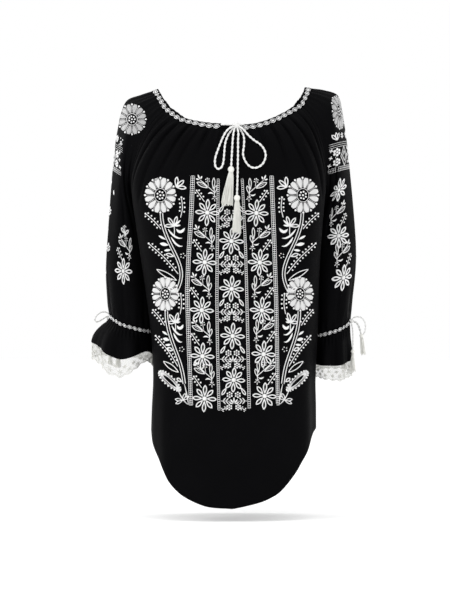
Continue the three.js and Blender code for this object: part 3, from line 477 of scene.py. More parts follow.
coarse = {"front": iron(panel_grid(True), 12, False), "back": iron(panel_grid(False), 12, False),
          "left": iron(sleeve_grid("left"), 8, True), "right": iron(sleeve_grid("right"), 8, True)}
grid = {k: refine(g, k in ("left", "right")) for k, g in coarse.items()}
OPEN_ROWS = YOKE_ROWS * FINE        # sleeve rows above this are open at the raglan seams
print("panels:", {k: g.shape[:2] for k, g in grid.items()})

# %% [markdown]
# ## Folds
# The neck is drawn up on a cord, so the cloth stands in narrow gathers that fade out on the
# chest, and long soft folds hang from the fullness. Each fold is a low ridge pushed out
# along the surface, with its own place, height and length, so none is like the next.

# %% Gathers and folds
GATHER_LENGTH, GATHER_RISE = 96.0, 3.4
# place across the front, height, length, width
GATHERS = [
    (0.06, 0.8, 1.0, 0.026), (0.13, 1.0, 1.15, 0.028), (0.2, 0.85, 0.95, 0.024),
    (0.265, 0.9, 0.9, 0.024), (0.33, 0.7, 0.75, 0.022), (0.4, 0.6, 0.6, 0.022),
    (0.47, 0.55, 0.55, 0.022), (0.545, 0.6, 0.6, 0.022), (0.62, 0.75, 0.75, 0.023),
    (0.69, 0.9, 0.9, 0.024), (0.76, 0.85, 0.95, 0.024), (0.83, 1.0, 1.05, 0.026),
    (0.9, 0.9, 1.1, 0.028), (0.955, 0.7, 1.0, 0.024),
]
# narrow furrows between the gathers: place across the front, depth, length
FURROWS = [
    (0.03, 2.6, 120), (0.095, 3.8, 128), (0.165, 3.4, 150), (0.232, 3.6, 118), (0.298, 2.8, 96),
    (0.365, 2.2, 62), (0.435, 1.5, 40), (0.508, 1.2, 34), (0.583, 1.5, 42), (0.655, 2.2, 66),
    (0.725, 3.0, 92), (0.795, 3.6, 128), (0.865, 4.0, 146), (0.928, 3.6, 126), (0.972, 2.4, 110),
]
YOKE_DROP, ROW_DROP = 138, 40       # length of the front's yoke and of a row below it
# place across, rise, width, height where it starts and where it is full
LONG_FOLDS = {
    "front": [(0.14, 2.6, 0.035, -420, -560), (0.24, 1.6, 0.03, -460, -620),
              (0.8, 2.0, 0.035, -380, -540), (0.9, 2.4, 0.03, -330, -480)],
    "back": [(0.18, 3.0, 0.05, -300, -460), (0.38, 2.2, 0.05, -360, -540),
             (0.6, 2.4, 0.05, -340, -520), (0.84, 3.0, 0.05, -300, -460)],
}
# creases down a sleeve: place round the arm, depth, rows where it starts and ends
CREASES = [(0.1, 3.0, 3, 11), (0.19, 3.4, 4, 13), (0.27, 2.2, 7, 15), (0.62, 3.0, 6, 14),
           (0.85, 3.4, 3, 12)]
SLACK = [(0.3, 0.05), (0.46, 0.04), (0.72, 0.05)]   # place and width of the upper arm's fullness
CUFF_GATHERS = 7


def bulge(u, place, width):
    return np.exp(-(((u - place) / width) ** 2))


def shares(g):
    """Each point's row, counted in coarse rows, and its share of the way across."""
    rows, cols = g.shape[0] - 1, g.shape[1] - 1
    i = np.arange(rows + 1)[:, None] / FINE * np.ones((1, cols + 1))
    u = np.arange(cols + 1)[None, :] / cols * np.ones((rows + 1, 1))
    return i, u


def body_rise(name, g):
    """How far the folds lift each point of the front or back."""
    i, u = shares(g)
    edge = smooth(0, 0.035, u) * smooth(0, 0.035, 1 - u)
    h = np.zeros_like(u)
    if name == "front":
        down = (np.minimum(i, YOKE_ROWS) / YOKE_ROWS * YOKE_DROP
                + np.maximum(0, i - YOKE_ROWS) * ROW_DROP)
        for place, tall, long, wide in GATHERS:
            on = smooth(-10, 22, down) * (1 - smooth(0.35, 1.15, down / (GATHER_LENGTH * long)))
            h += GATHER_RISE * tall * on * bulge(u, place, wide)
        for k, (place, deep, long) in enumerate(FURROWS):
            on = smooth(-4, 14, down) * (1 - smooth(0.5, 1.0, down / long))
            way = place + 0.005 * np.sin(down / 24 + 2 * k)
            h -= deep * on * bulge(u, way, 0.0062 + 0.003 * down / long)
        small = smooth(-6, 6, down) * (1 - smooth(14, 46, down))
        h += 0.8 * small * np.sin(2 * math.pi * (27 * u + 0.5 * np.sin(9 * u)))
    else:
        down = i / YOKE_ROWS
        on = smooth(-0.08, 0.2, down) * (1 - smooth(0.3, 0.85, down))
        h += 2.2 * on * (1 + np.cos(2 * math.pi * 6.5 * u)) / 2
        h += 0.7 * (1 - smooth(0.1, 0.35, down)) * np.sin(2 * math.pi * 24 * u)
    for place, tall, wide, start, full in LONG_FOLDS[name]:
        h += tall * smooth(-start, -full, -g[..., 2]) * bulge(u, place, wide)
    drift = 0.03 * np.sin(i * 0.55)
    h += 0.5 * np.sin(2 * math.pi * (5.5 * u + drift * 8)) * smooth(7, 12, i)
    return h * edge


def sleeve_rise(g):
    """How far the folds lift each point of a sleeve."""
    i, u = shares(g)
    upper = smooth(0, 0.08, u) * smooth(0, 0.08, 1 - u)
    edge = np.where(i <= YOKE_ROWS, upper, smooth(0.02, 0.09, np.minimum(u, 1 - u)))
    h = 1.3 * (1 - smooth(1, 5, i)) * (1 - np.cos(2 * math.pi * 5 * u)) / 2
    h += 0.6 * (1 - smooth(0.5, 2.5, i)) * np.sin(2 * math.pi * 14 * u)
    low = (smooth(YOKE_ROWS + 3, YOKE_ROWS + ARM_ROWS - 1, i)
           * (1 - 0.75 * smooth(YOKE_ROWS + ARM_ROWS - 1, YOKE_ROWS + ARM_ROWS, i)))
    h += 2.4 * low * (1 - np.cos(2 * math.pi * CUFF_GATHERS * u)) / 2
    h += 0.7 * smooth(YOKE_ROWS + ARM_ROWS - 2, YOKE_ROWS + ARM_ROWS, i) * np.sin(2 * math.pi * 19 * u)
    for place, deep, start, end in CREASES:
        way = place + 0.012 * np.sin(i * 0.9 + 9 * place)
        h -= deep * smooth(start, start + 3, i) * (1 - smooth(end - 4, end, i)) * bulge(u, way, 0.014)
    for k in range(CUFF_GATHERS):
        h -= 1.9 * low * bulge(u, (k + 0.03 * math.sin(5 * k)) / CUFF_GATHERS, 0.012)
    h += 2.0 * smooth(YOKE_ROWS - 3, YOKE_ROWS + 2, i) * (1 - low) * sum(bulge(u, *at) for at in SLACK)
    return h * edge


def outward(n, aim):
    mid = n[len(n) * 2 // 3, n.shape[1] // 2]
    return n if mid @ np.array(aim) > 0 else -n


AIM = {"front": (0, -1, 0), "back": (0, 1, 0), "left": (-1, 0, 0), "right": (1, 0, 0)}


def normals_of(name):
    wrap = OPEN_ROWS if name in ("left", "right") else None
    return outward(normals(grid[name], wrap), AIM[name])


for name in grid:
    rise = body_rise(name, grid[name]) if name in ("front", "back") else sleeve_rise(grid[name])
    grid[name] = grid[name] + normals_of(name) * rise[..., None]
print("folds: %d gathers and %d long folds in front" % (len(GATHERS), len(LONG_FOLDS["front"])))

# %% [markdown]
# ## Keeping the sleeves clear of the body
# A sleeve hangs beside the body and only just misses it. A ray from the middle of the body
# finds how far its side stands out, and the sleeve's inner side is moved past it.

# %% Clear the sleeves
def triangles(g):
    rows, cols = g.shape[0] - 1, g.shape[1] - 1
    i, j = np.meshgrid(np.arange(rows), np.arange(cols), indexing="ij")
    a = (i * (cols + 1) + j).ravel()
    return np.stack([a, a + cols + 1, a + cols + 2, a + 1], axis=1)


def search_tree(*grids):
    points, faces, base = [], [], 0
    for g in grids:
        points += (g.reshape(-1, 3) * MM).tolist()
        faces += (triangles(g) + base).tolist()
        base = len(points)
    return BVHTree.FromPolygons(points, faces)


body_tree = search_tree(grid["front"], grid["back"])
ROOM = 3.0
for side, way in (("left", -1), ("right", 1)):
    g = grid[side]
    last = g.shape[1] - 1
    for i in range((YOKE_ROWS - 5) * FINE, min(len(g), (YOKE_ROWS + 5) * FINE)):
        for j in range(last + 1):
            off = min(j, last - j)
            if off > 6 * FINE or (i <= OPEN_ROWS and off == 0):
                continue
            start = Vector((way * 0.03, g[i, j, 1] * MM, g[i, j, 2] * MM))
            hit = body_tree.ray_cast(start, Vector((way, 0, 0)))[0]
            if hit is None:
                continue
            reach = abs(hit.x) / MM + (ROOM if i > OPEN_ROWS else min(ROOM, off * 0.6))
            short = reach - way * g[i, j, 0]
            if short > -2:
                g[i, j, 0] += way * (short if short > 2 else (short + 2) ** 2 / 8)
N = {name: normals_of(name) for name in grid}
print("sleeves are %.0f mm clear of the body" % ROOM)

# %% [markdown]
# ## Cloth as a thin shell
# Cloth is never a bare surface: it has two faces and an edge. The grid becomes a mesh, and
# its second layer is set a millimetre inside, with a rim along every open edge.

# %% Shells
CLOTH = 1.1                         # thickness of the cloth


def mesh_piece(name, points, faces, finish, replaces=()):
    """A mesh object on the body, with its finish and the nodes it stands for."""
    mesh = bpy.data.meshes.new(name)
    mesh.from_pydata((np.asarray(points) * MM).tolist(), [],
                     faces if isinstance(faces, list) else faces.tolist())
    mesh.validate()
    mesh.polygons.foreach_set("use_smooth", [True] * len(mesh.polygons))
    mesh.materials.append(finish)
    piece = bpy.data.objects.new(name, mesh)
    bpy.context.scene.collection.objects.link(piece)
    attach(piece, "root")
    if replaces:
        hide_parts(*replaces)
    return piece


def shell(g, n, thick, wrap_from=None):
    """Points and faces of a closed shell on a grid; below wrap_from it is a tube."""
    rows, cols = g.shape[0] - 1, g.shape[1] - 1
    width = cols + 1
    index = np.arange((rows + 1) * width).reshape(rows + 1, width)
    if wrap_from is not None:
        index = index.copy()
        index[wrap_from:, cols] = index[wrap_from:, 0]
    points = np.concatenate([g.reshape(-1, 3), (g - n * thick).reshape(-1, 3)])
    inner = index + (rows + 1) * width
    quads = np.stack([index[:-1, :-1], index[1:, :-1], index[1:, 1:], index[:-1, 1:]], -1).reshape(-1, 4)
    back = np.stack([inner[:-1, :-1], inner[:-1, 1:], inner[1:, 1:], inner[1:, :-1]], -1).reshape(-1, 4)
    rims = [np.stack([index[0, :-1], index[0, 1:], inner[0, 1:], inner[0, :-1]], -1),
            np.stack([index[-1, :-1], inner[-1, :-1], inner[-1, 1:], index[-1, 1:]], -1)]
    end = rows if wrap_from is None else wrap_from
    for edge, turn in ((0, False), (cols, True)):
        side = np.stack([index[:end, edge], inner[:end, edge], inner[1:end + 1, edge],
                         index[1:end + 1, edge]], -1)
        rims.append(side[:, ::-1] if turn else side)
    faces = np.concatenate([quads, back, *rims])
    a, b, c = points[quads[:, 0]], points[quads[:, 1]], points[quads[:, 3]]
    facing = np.sum(np.cross(b - a, c - a) * n.reshape(-1, 3)[quads[:, 0] % (len(points) // 2)])
    if facing < 0:
        faces = faces[:, ::-1]
    used, packed = np.unique(faces, return_inverse=True)
    return points[used], packed.reshape(faces.shape)


def area_of(g):
    d, a = np.diff(g, axis=0)[:, :-1], np.diff(g, axis=1)[:-1]
    return float(np.linalg.norm(np.cross(d, a), axis=-1).sum()) * MM * MM


def turn_edges(name, depth=0.7, reach=2):
    """Rolls the cloth in a little at its seams, where the stitching pulls it down."""
    g, n = grid[name], N[name]
    cols = g.shape[1] - 1
    rows = OPEN_ROWS if name in ("left", "right") else len(g) - 1
    for k in range(reach):
        pull = depth * (1 - k / reach)
        for j in (k, cols - k):
            g[:rows, j] -= n[:rows, j] * pull
    return g


PIECES = {}
for name, node in (("front", "front"), ("back", "back"), ("left", "sleeve_left"),
                   ("right", "sleeve_right")):
    wrap = OPEN_ROWS if name in ("left", "right") else None
    points, faces = shell(turn_edges(name), N[name], CLOTH, wrap)
    PIECES[name] = mesh_piece(node + "_cloth", points, faces, BLACK, [node])
    print(node, "area %.3f m2, %d faces" % (area_of(grid[name]), len(faces)))

# %% [markdown]
# ## Bands
# The neck binding and the cuff bands are strips folded over a raw edge. Each one is a ring
# that follows the edge of the cloth, with a small rounded section swept along it.

# %% Edge rings and bands
def edge_ring(rows):
    """Points of an edge with its direction away from the cloth and its outward normal."""
    p = np.concatenate([r[0] for r in rows])
    e = unit(p - np.concatenate([r[1] for r in rows]))
    n = np.concatenate([r[2] for r in rows])
    wide = 3 * FINE
    kernel = range(-wide, wide + 1)
    e = unit(sum(np.roll(e, k, axis=0) for k in kernel))
    n = unit(sum(np.roll(n, k, axis=0) for k in kernel))
    return p, unit(e - n * np.sum(e * n, axis=1, keepdims=True)), n


def edge(name, row, step, reverse=False):
    """An edge row without its last point, the row next to it and the normals."""
    parts = [grid[name][row], grid[name][row + step], N[name][row]]
    return [a[:0:-1] if reverse else a[:-1] for a in parts]


def ring_faces(count, sides, closed):
    """Quads between rings of points; a closed path joins its last ring to its first."""
    i, j = np.meshgrid(np.arange(count if closed else count - 1), np.arange(sides), indexing="ij")
    at = lambda a, b: (a % count) * sides + b % sides
    return np.stack([at(i, j), at(i, j + 1), at(i + 1, j + 1), at(i + 1, j)], -1).reshape(-1, 4)


def band(ring, section):
    """A strip with that section, swept along the ring."""
    p, e, n = ring
    s = np.array(section)
    points = (p[:, None] - n[:, None] * CLOTH / 2 + e[:, None] * s[None, :, :1]
              + n[:, None] * s[None, :, 1:])
    faces = ring_faces(len(p), len(section), True)
    q = points.reshape(-1, 3)
    volume = np.sum(q[faces[:, 0]] * np.cross(q[faces[:, 1]], q[faces[:, 2]]))
    return q, faces if volume > 0 else faces[:, ::-1]


def rounded(height, thick, steps=5, start=0.2):
    """The section of a folded strip: flat faces and a full round fold at its free edge."""
    half = thick / 2
    top = [(height - half + half * math.sin(a), half * math.cos(a))
           for a in np.linspace(0, math.pi, 2 * steps)]
    return [(start, half * 0.8), (height * 0.3, half), *top, (height * 0.3, -half), (start, -half * 0.8)]


neck_ring = edge_ring([edge("front", 0, 1), edge("right", 0, 1), edge("back", 0, 1),
                       edge("left", 0, 1, True)])
BINDING = (10.0, 3.4)
points, faces = band(neck_ring, rounded(*BINDING))
PIECES["binding"] = mesh_piece("neck_binding_strip", points, faces, BLACK,
                               ["neck_binding"])
print("binding: %.0f mm round" % np.linalg.norm(neck_ring[0] - np.roll(neck_ring[0], 1, 0), axis=1).sum())

# %% [markdown]
# ## Cuffs
# Below each band hangs a gathered ruffle. Its length and flare change round the cuff: it
# stands out on the outer side and lies flat beside the body. The lace is the same surface
# carried on past the ruffle's hem.

# %% Ruffles
# length at the inner, outer and front side, flare, waves and their height, dips of the hem
CUFF = {
    "left": dict(inner=41, outer=52, ahead=10, flare_out=27, flare_front=7, waves=8, wave=4.6, turn=0.4,
                 dips=[(0.15, -11, 0.08), (0.31, 4, 0.06)]),
    "right": dict(inner=45, outer=62, ahead=5, flare_out=2, flare_front=4, waves=9, wave=3.2, turn=1.1,
                  dips=[]),
}
BAND = (7.0, 3.0)
RUFFLE_COLS, RUFFLE_ROWS = 264, 18


def ruffle_surface(side, ring):
    """Points of the ruffle at a share round the cuff and of its length; past 1 is the lace."""
    c = CUFF[side]
    p, e, n = ring
    start = p + e * (BAND[0] + 0.62)
    round_ = line(start[::FINE], True)
    mid = start.mean(axis=0)

    def point(u, k):
        u, k = np.asarray(u, float) % 1.0, np.asarray(k, float)
        at, a = round_(u), 2 * math.pi * u
        outer, ahead = (1 - np.cos(a)) / 2, np.maximum(0, np.sin(a))
        length = (c["inner"] + (c["outer"] - c["inner"]) * outer
                  + c["ahead"] * ahead * np.minimum(1, outer * 1.6)
                  + sum(rise * np.exp(-(((u - at_u) / wide) ** 2)) for at_u, rise, wide in c["dips"]))
        free = smooth(0.02, 0.3, outer)
        out = at - mid
        out[..., 2] = 0
        out = unit(out)
        flare = ((c["flare_out"] * outer**2 + c["flare_front"] * ahead)
                 * np.sin(np.minimum(k / 1.05, 1) * math.pi / 2) ** 1.2)
        wave = (c["wave"] * (0.12 + 0.88 * smooth(0, 1.1, k)) * (0.15 + 0.85 * free)
                * (0.6 + np.cos(2 * math.pi * c["waves"] * u + c["turn"] + 0.5 * np.sin(a))))
        small = (0.75 * np.sin(2 * math.pi * 41 * u + 1.3 * np.sin(3 * a)) * smooth(0, 0.06, k)
                 * (1 - smooth(0.1, 0.5, k)) * free)
        down = np.sqrt(np.maximum(0.2, 1 - (flare / (length * np.maximum(k, 0.3))) ** 2)) * length * k
        reach = np.maximum(0, flare) + np.maximum(-0.4, wave) * smooth(0, 0.25, k) * free + 0.2 + small
        return at + out * reach[..., None] - np.array([0, 0, 1]) * down[..., None]
    return point


def tube_grid(point, k0, k1, rows, cols=RUFFLE_COLS):
    u, k = np.meshgrid(np.arange(cols + 1) / cols, np.linspace(k0, k1, rows + 1))
    g = point(u, k)
    n = normals(g, 0)
    mid = g.reshape(-1, 3).mean(axis=0)
    away = np.sum(n * (g - mid))
    return g, n if away > 0 else -n


SURFACE, CUFF_RING = {}, {}
for side in ("left", "right"):
    last = len(grid[side]) - 1
    CUFF_RING[side] = edge_ring([edge(side, last, -1)])
    points, faces = band(CUFF_RING[side], rounded(*BAND, start=0.4))
    PIECES["band_" + side] = mesh_piece(f"cuff_band_{side}_strip", points, faces, BLACK,
                                        [f"cuff_band_{side}"])
    SURFACE[side] = ruffle_surface(side, CUFF_RING[side])
    g, n = tube_grid(SURFACE[side], 0, 1, RUFFLE_ROWS)
    points, faces = shell(g, n, 1.0, 0)
    PIECES["ruffle_" + side] = mesh_piece(f"cuff_ruffle_{side}_cloth", points, faces, BLACK,
                                          [f"cuff_ruffle_{side}"])
    print("ruffle", side, "area %.4f m2" % area_of(g))

# %% [markdown]
# ## Tubes and ribbons
# Cord, lace and stitches are all threads. `tube` sweeps a ring along a path, and a lobed
# section that turns as it goes gives the look of twisted plies.

# %% Tubes
def resample(path, step):
    path = np.asarray(path, float)
    d = lengths(path)
    count = max(2, int(round(d[-1] / step)) + 1)
    t = np.linspace(0, d[-1], count)
    return np.stack([np.interp(t, d, path[:, k]) for k in range(3)], -1)


def tube(path, radius, sides=8, lobes=0, twist=6.0, depth=0.18, closed=False):
    """Points and faces of a tube; with lobes its section is plied and turns along the path."""
    p = np.asarray(path, float)
    t = unit(np.gradient(p, axis=0)) if not closed else unit(np.roll(p, -1, 0) - np.roll(p, 1, 0))
    a = np.zeros_like(p)
    ref = np.array([0, -1.0, 0]) if abs(t[0][1]) < 0.9 else np.array([1.0, 0, 0])
    for k in range(len(p)):
        ref = ref - t[k] * (ref @ t[k])
        ref /= max(np.linalg.norm(ref), 1e-9)
        a[k] = ref
    b = np.cross(t, a)
    s = lengths(p)
    w = 2 * math.pi * np.arange(sides) / sides
    r = np.full((len(p), sides), 1.0) * (np.asarray(radius, float).reshape(-1, 1))
    if lobes:
        turn = w[None, :] - 2 * math.pi * s[:, None] / twist / lobes
        r = r * (1 - depth + depth * np.abs(np.cos(lobes * turn / 2)))
    q = (p[:, None] + a[:, None] * (np.cos(w)[None, :, None] * r[..., None])
         + b[:, None] * (np.sin(w)[None, :, None] * r[..., None])).reshape(-1, 3)
    faces = ring_faces(len(p), sides, closed).tolist()
    if not closed:
        faces += [list(range(sides))[::-1], list(range(len(q) - sides, len(q)))]
    return q, faces


def join(parts):
    points, faces, base = [], [], 0
    for q, f in parts:
        points.append(q)
        faces += [[v + base for v in face] for face in (f if isinstance(f, list) else f.tolist())]
        base += len(q)
    return np.concatenate(points), faces


# %% [markdown]
# ## Lace
# The lace is a fine net with small flowers worked into it and a scalloped edge. It is laid
# out flat as threads, in millimetres round the cuff and down from its top, and then carried
# onto the surface below the ruffle.

# %% Lace threads
LACE_ROUND = 250.0                  # the chart's width, once round the cuff
NET_THREADS, SCALLOPS = 110, 22
PETALS = 6


def lace(side):
    c = CUFF[side]
    k0, k1 = 0.9, 1 + 50 / (c["inner"] + c["outer"])
    point = SURFACE[side]
    base, n = tube_grid(point, k0, k1, 16)
    tree = BVHTree.FromPolygons((base.reshape(-1, 3) * MM).tolist(), triangles(base).tolist())
    deep_mm = (k1 - k0) * (c["inner"] + c["outer"]) / 2

    def lay(path, lift=0.0):
        """Threads given as millimetres round the cuff and down from the lace's top."""
        path = np.asarray(path, float)
        u = path[:, 0] / LACE_ROUND
        k = k0 + (k1 - k0) * path[:, 1] / deep_mm
        p = point(u, k)
        mid = point(u, k * 0 + 1.0)
        side_way = unit(point(u + 0.004, k) - point(u - 0.004, k))
        down_way = unit(point(u, k + 0.02) - point(u, k - 0.02))
        out = unit(np.cross(down_way, side_way))
        axis = base.reshape(-1, 3).mean(axis=0)
        sign = np.sign(np.sum(out * (p - axis), axis=1, keepdims=True))
        return p - out * sign * (1.6 - lift)

    def edge_depth(x):
        return deep_mm - 3.2 * (1 - np.abs(np.sin(math.pi * SCALLOPS * x / LACE_ROUND)))

    parts = []
    pitch = LACE_ROUND / NET_THREADS
    for way in (1, -1):
        for m in range(NET_THREADS):
            y = np.linspace(0, deep_mm, 22)
            x = m * pitch + way * y
            keep = y <= edge_depth(x)
            if keep.sum() > 2:
                parts.append(tube(lay(np.stack([x[keep], y[keep]], -1)), 0.2, 3))
    x = np.linspace(0, LACE_ROUND, 441)[:-1]
    for lift, inset, thick in ((0.1, 0.0, 0.5), (0.1, 1.8, 0.3)):
        parts.append(tube(lay(np.stack([x, edge_depth(x) - inset], -1), lift), thick, 5, closed=True))
    step = LACE_ROUND / SCALLOPS
    for m in range(SCALLOPS):
        for x0, y0, size in ((m * step + step / 2, deep_mm - 7.6, 3.9), (m * step, deep_mm - 14.5, 3.2)):
            for q in range(PETALS):
                a = 2 * math.pi * q / PETALS + 0.3 * m
                t = np.linspace(0, 1, 7)
                leaf = np.stack([x0 + math.cos(a) * size * t, y0 + math.sin(a) * size * t], -1)
                parts.append(tube(lay(leaf, 0.25), 0.1 + 0.62 * np.sin(math.pi * np.clip(t, 0.02, 0.98)), 4))
        t = np.linspace(0, 2 * math.pi, 9)[:-1]
        ring = np.stack([m * step + step / 2 + np.cos(t) * 1.0, deep_mm - 1.9 + np.sin(t) * 0.8], -1)
        parts.append(tube(lay(ring, 0.2), 0.3, 4, closed=True))
    return join(parts), area_of(base)


for side in ("left", "right"):
    (points, faces), area = lace(side)
    PIECES["lace_" + side] = mesh_piece(f"lace_edging_{side}_net", points, faces, LACE,
                                        [f"lace_edging_{side}"])
    print("lace", side, len(faces), "faces, area %.4f m2" % area)

# %% [markdown]
# ## How the embroidery is stitched
# Satin and stem stitches stand up from the cloth as small rounded ridges. A pattern is drawn
# flat in squares of 1.8 mm, as on a chart, and every stroke becomes a ribbon with a domed
# section. Each point of it is then carried onto the cloth, so the work follows every fold.

# %% Hoop and stitches
SQUARE = 1.8
ORIGIN = (231.5, 89.0)              # the chart's square that lies at the part's origin
BOLD = 1.1                          # how much wider than the chart's line a thread lies


class Hoop:
    """Cloth held for stitching: collects raised strokes and dots drawn on a chart."""

    def __init__(self, place, scale=SQUARE):
        self.place, self.scale, self.turn, self.bold = place, scale, None, 1.0
        self.points, self.faces, self.count = [], [], 0

    def keep(self, q, lift, faces):
        if self.turn:
            q = self.turn(q)
        p, n = self.place(q)
        self.faces += [[v + self.count for v in f] for f in faces]
        self.points.append(p + n * np.asarray(lift)[:, None])
        self.count += len(p)

    def stroke(self, path, width, step=0.62, closed=False, rise=None, curve=True):
        """A ribbon along a path; the width is a number or a list along it."""
        path = np.asarray(path, float)
        if curve and len(path) > 2:
            path = line(np.c_[path, np.zeros(len(path))], closed)(np.linspace(0, 1, 20 * len(path)))[:, :2]
        elif closed:
            path = np.vstack([path, path[:1]])
        d = lengths(path)
        count = max(3, int(d[-1] / step) + 1)
        t = np.linspace(0, 1, count + 1)[:-1] if closed else np.linspace(0, 1, count)
        c = np.stack([np.interp(t * d[-1], d, path[:, k]) for k in (0, 1)], -1)
        w = np.interp(t, np.linspace(0, 1, len(width)), width) if np.ndim(width) else np.full(len(t), width)
        w = w * BOLD * self.bold
        if not closed and np.ndim(width) == 0:
            w[[0, -1]] *= 0.45
        g = unit(np.roll(c, -1, 0) - np.roll(c, 1, 0)) if closed else unit(np.gradient(c, axis=0))
        side = np.stack([-g[:, 1], g[:, 0]], -1)
        top = rise or min(0.75, 0.2 + 0.2 * float(np.max(w)) * self.scale)
        wide = float(np.max(w)) * self.scale > 2.6
        section = ([(-1, -0.15), (-0.6, 0.82), (0, 1), (0.6, 0.82), (1, -0.15)] if wide
                   else [(-1, -0.2), (0, 1), (1, -0.2)])
        q = np.stack([c + side * (s * w / 2)[:, None] for s, _ in section], 1).reshape(-1, 2)
        full = np.minimum(1, 0.35 + w / max(float(np.max(w)), 1e-6) * 0.65)
        lift = np.stack([h * top * (full if h > 0 else np.ones(len(c))) for _, h in section], 1).ravel()
        k = len(section)
        faces = ring_faces(len(c), k, closed).tolist()
        if not closed:
            faces += [list(range(k))[::-1], list(range((len(c) - 1) * k, len(c) * k))]
        self.keep(q, lift, faces)

    def dot(self, x, y, r, sides=7):
        """A knot: a small dome."""
        r = r * BOLD
        a = 2 * math.pi * np.arange(sides) / sides
        rim = np.stack([x + r * np.cos(a), y + r * np.sin(a)], -1)
        mid = np.stack([x + 0.62 * r * np.cos(a), y + 0.62 * r * np.sin(a)], -1)
        top = 0.3 + 0.28 * r * self.scale
        q = np.concatenate([rim, mid, [[x, y]]])
        lift = np.r_[np.full(sides, -0.1), np.full(sides, 0.75 * top), top]
        nxt = [(j + 1) % sides for j in range(sides)]
        faces = [[j, nxt[j], sides + nxt[j], sides + j] for j in range(sides)]
        faces += [[sides + j, sides + nxt[j], 2 * sides] for j in range(sides)]
        self.keep(q, lift, faces + [list(range(sides))[::-1]])

    def finish(self, name, finish=None):
        """Makes one mesh of all that was stitched."""
        PIECES[name] = mesh_piece(name, np.concatenate(self.points), self.faces, finish or THREAD)
        print(name, sum(len(f) - 2 for f in self.faces), "triangles")


def polar(x, y, r, a):
    return [x + r * math.cos(a), y + r * math.sin(a)]


# %% [markdown]
# ## Motifs
# The same few shapes make the whole chart: an outlined petal, a filled leaf, a dotted
# twig, an eight-petalled flower and a sunflower. Each is a short function of its place
# and size, so a border is a loop over flowers.

# %% Petals, leaves and twigs
def outlined(h, base, tip, half, thread=1.35, full=0.6):
    """A pointed loop between two points, as in chain stitch."""
    base, tip = np.array(base, float), np.array(tip, float)
    d = tip - base
    side = np.array([-d[1], d[0]]) / np.linalg.norm(d)
    t = np.linspace(0, 1, 9)
    w = half * np.sin(math.pi * t ** (math.log(0.5) / math.log(full))) ** 0.85
    loop = [base + d * a + side * b for a, b in zip(t, w)]
    loop += [base + d * a - side * b for a, b in zip(t[-2:0:-1], w[-2:0:-1])]
    h.stroke(loop, thread, closed=True, curve=False)


def filled(h, base, tip, half, bend=0.0, blunt=0.8):
    """A solid leaf in satin stitch, straight or bent."""
    base, tip = np.array(base, float), np.array(tip, float)
    d = tip - base
    side = np.array([-d[1], d[0]])
    t = np.linspace(0, 1, 7)
    path = [base + d * a + side * bend * math.sin(math.pi * a) for a in t]
    h.stroke(path, 2 * half * np.maximum(0.12, np.sin(math.pi * np.linspace(0.03, 0.97, 7) ** 1.15)) ** blunt)


def twig(h, path, pairs, gap=1.9, size=0.62, thread=0.9, start=0.15):
    """A thin stem with knots on both sides and one at its tip."""
    gap, size = gap * 1.08, size * 1.3
    p = line(np.c_[np.array(path, float), np.zeros(len(path))])
    h.stroke(path, thread)
    for m in range(pairs):
        t = start + (0.93 - start) * m / max(1, pairs - 1)
        at, g = p(t)[:2], unit(p(min(1, t + 0.02))[:2] - p(max(0, t - 0.02))[:2])
        for s in (-1, 1):
            h.dot(at[0] - s * g[1] * gap + g[0] * 0.5, at[1] + s * g[0] * gap + g[1] * 0.5, size, 6)
    end, g = p(1)[:2], unit(p(1)[:2] - p(0.95)[:2])
    h.dot(end[0] + g[0] * 0.8, end[1] + g[1] * 0.8, size * 1.1, 6)


def fan(h, x, y, size, angle, count=5, spread=2.2, half=0.55):
    """Small leaves spread from one point, the middle one longest."""
    for m in range(count):
        a = angle + spread * (m / (count - 1) - 0.5)
        long = size * (1 - 0.25 * abs(m / (count - 1) - 0.5) * 2)
        filled(h, polar(x, y, size * 0.15, a), polar(x, y, long, a), half)


def floret(h, x, y, r=3.3, dots=6, size=0.95):
    """A ring of knots round a knot."""
    h.dot(x, y, size * 0.8, 6)
    for m in range(dots):
        h.dot(*polar(x, y, r * 0.72, 2 * math.pi * m / dots + 0.5), size, 6)


def daisy(h, x, y, r=12.4, turn=0.06, squash=1.0):
    """Eight outlined petals round a solid middle."""
    for m in range(8):
        a = turn + math.pi * m / 4
        long = r * (1.0 if m % 2 == 0 else 0.94)
        base, tip = polar(0, 0, 2.9, a), polar(0, 0, long - 0.6, a)
        outlined(h, (x + base[0] * squash, y + base[1]), (x + tip[0] * squash, y + tip[1]), 1.62, 1.3, 0.6)
    h.dot(x, y, 2.2, 12)


def sunflower(h, x, y, r=16.0, squash=1.0, petals=12, satin=None):
    """Broad satin petals with thin stalks and knots between them, and a dotted eye."""
    at = lambda rr, a: (x + rr * math.cos(a) * squash, y + rr * math.sin(a))
    for m in range(petals):
        a = 2 * math.pi * (m + 0.5) / petals
        (satin or h).stroke([at(r * k, a) for k in (0.42, 0.6, 0.78, 0.92, 0.985)],
                            [v * r / 16 * (0.5 + 0.5 * squash) for v in (1.5, 3.2, 4.7, 5.2, 3.0)],
                            0.7, rise=0.55)
        b = a + math.pi / petals
        h.stroke([at(r * 0.44, b), at(r * 0.96, b)], 0.42)
        h.dot(*at(r * 0.97, b), 1.0 * r / 16, 6)
    ring = [at(r * 0.375, 2 * math.pi * m / 16) for m in range(16)]
    h.stroke(ring, 0.6, closed=True)
    h.dot(x, y, 0.95 * r / 16, 6)
    for m in range(7):
        h.dot(*at(r * 0.2, 2 * math.pi * m / 7), 0.9 * r / 16, 6)


# %% [markdown]
# ## The front
# Four ladders run down the front and part it into a middle strip, two borders and two outer
# panels with a tall flowering stem. The chart is projected from straight in front onto the
# gathered cloth, so it reads true from there and still lies on the folds.

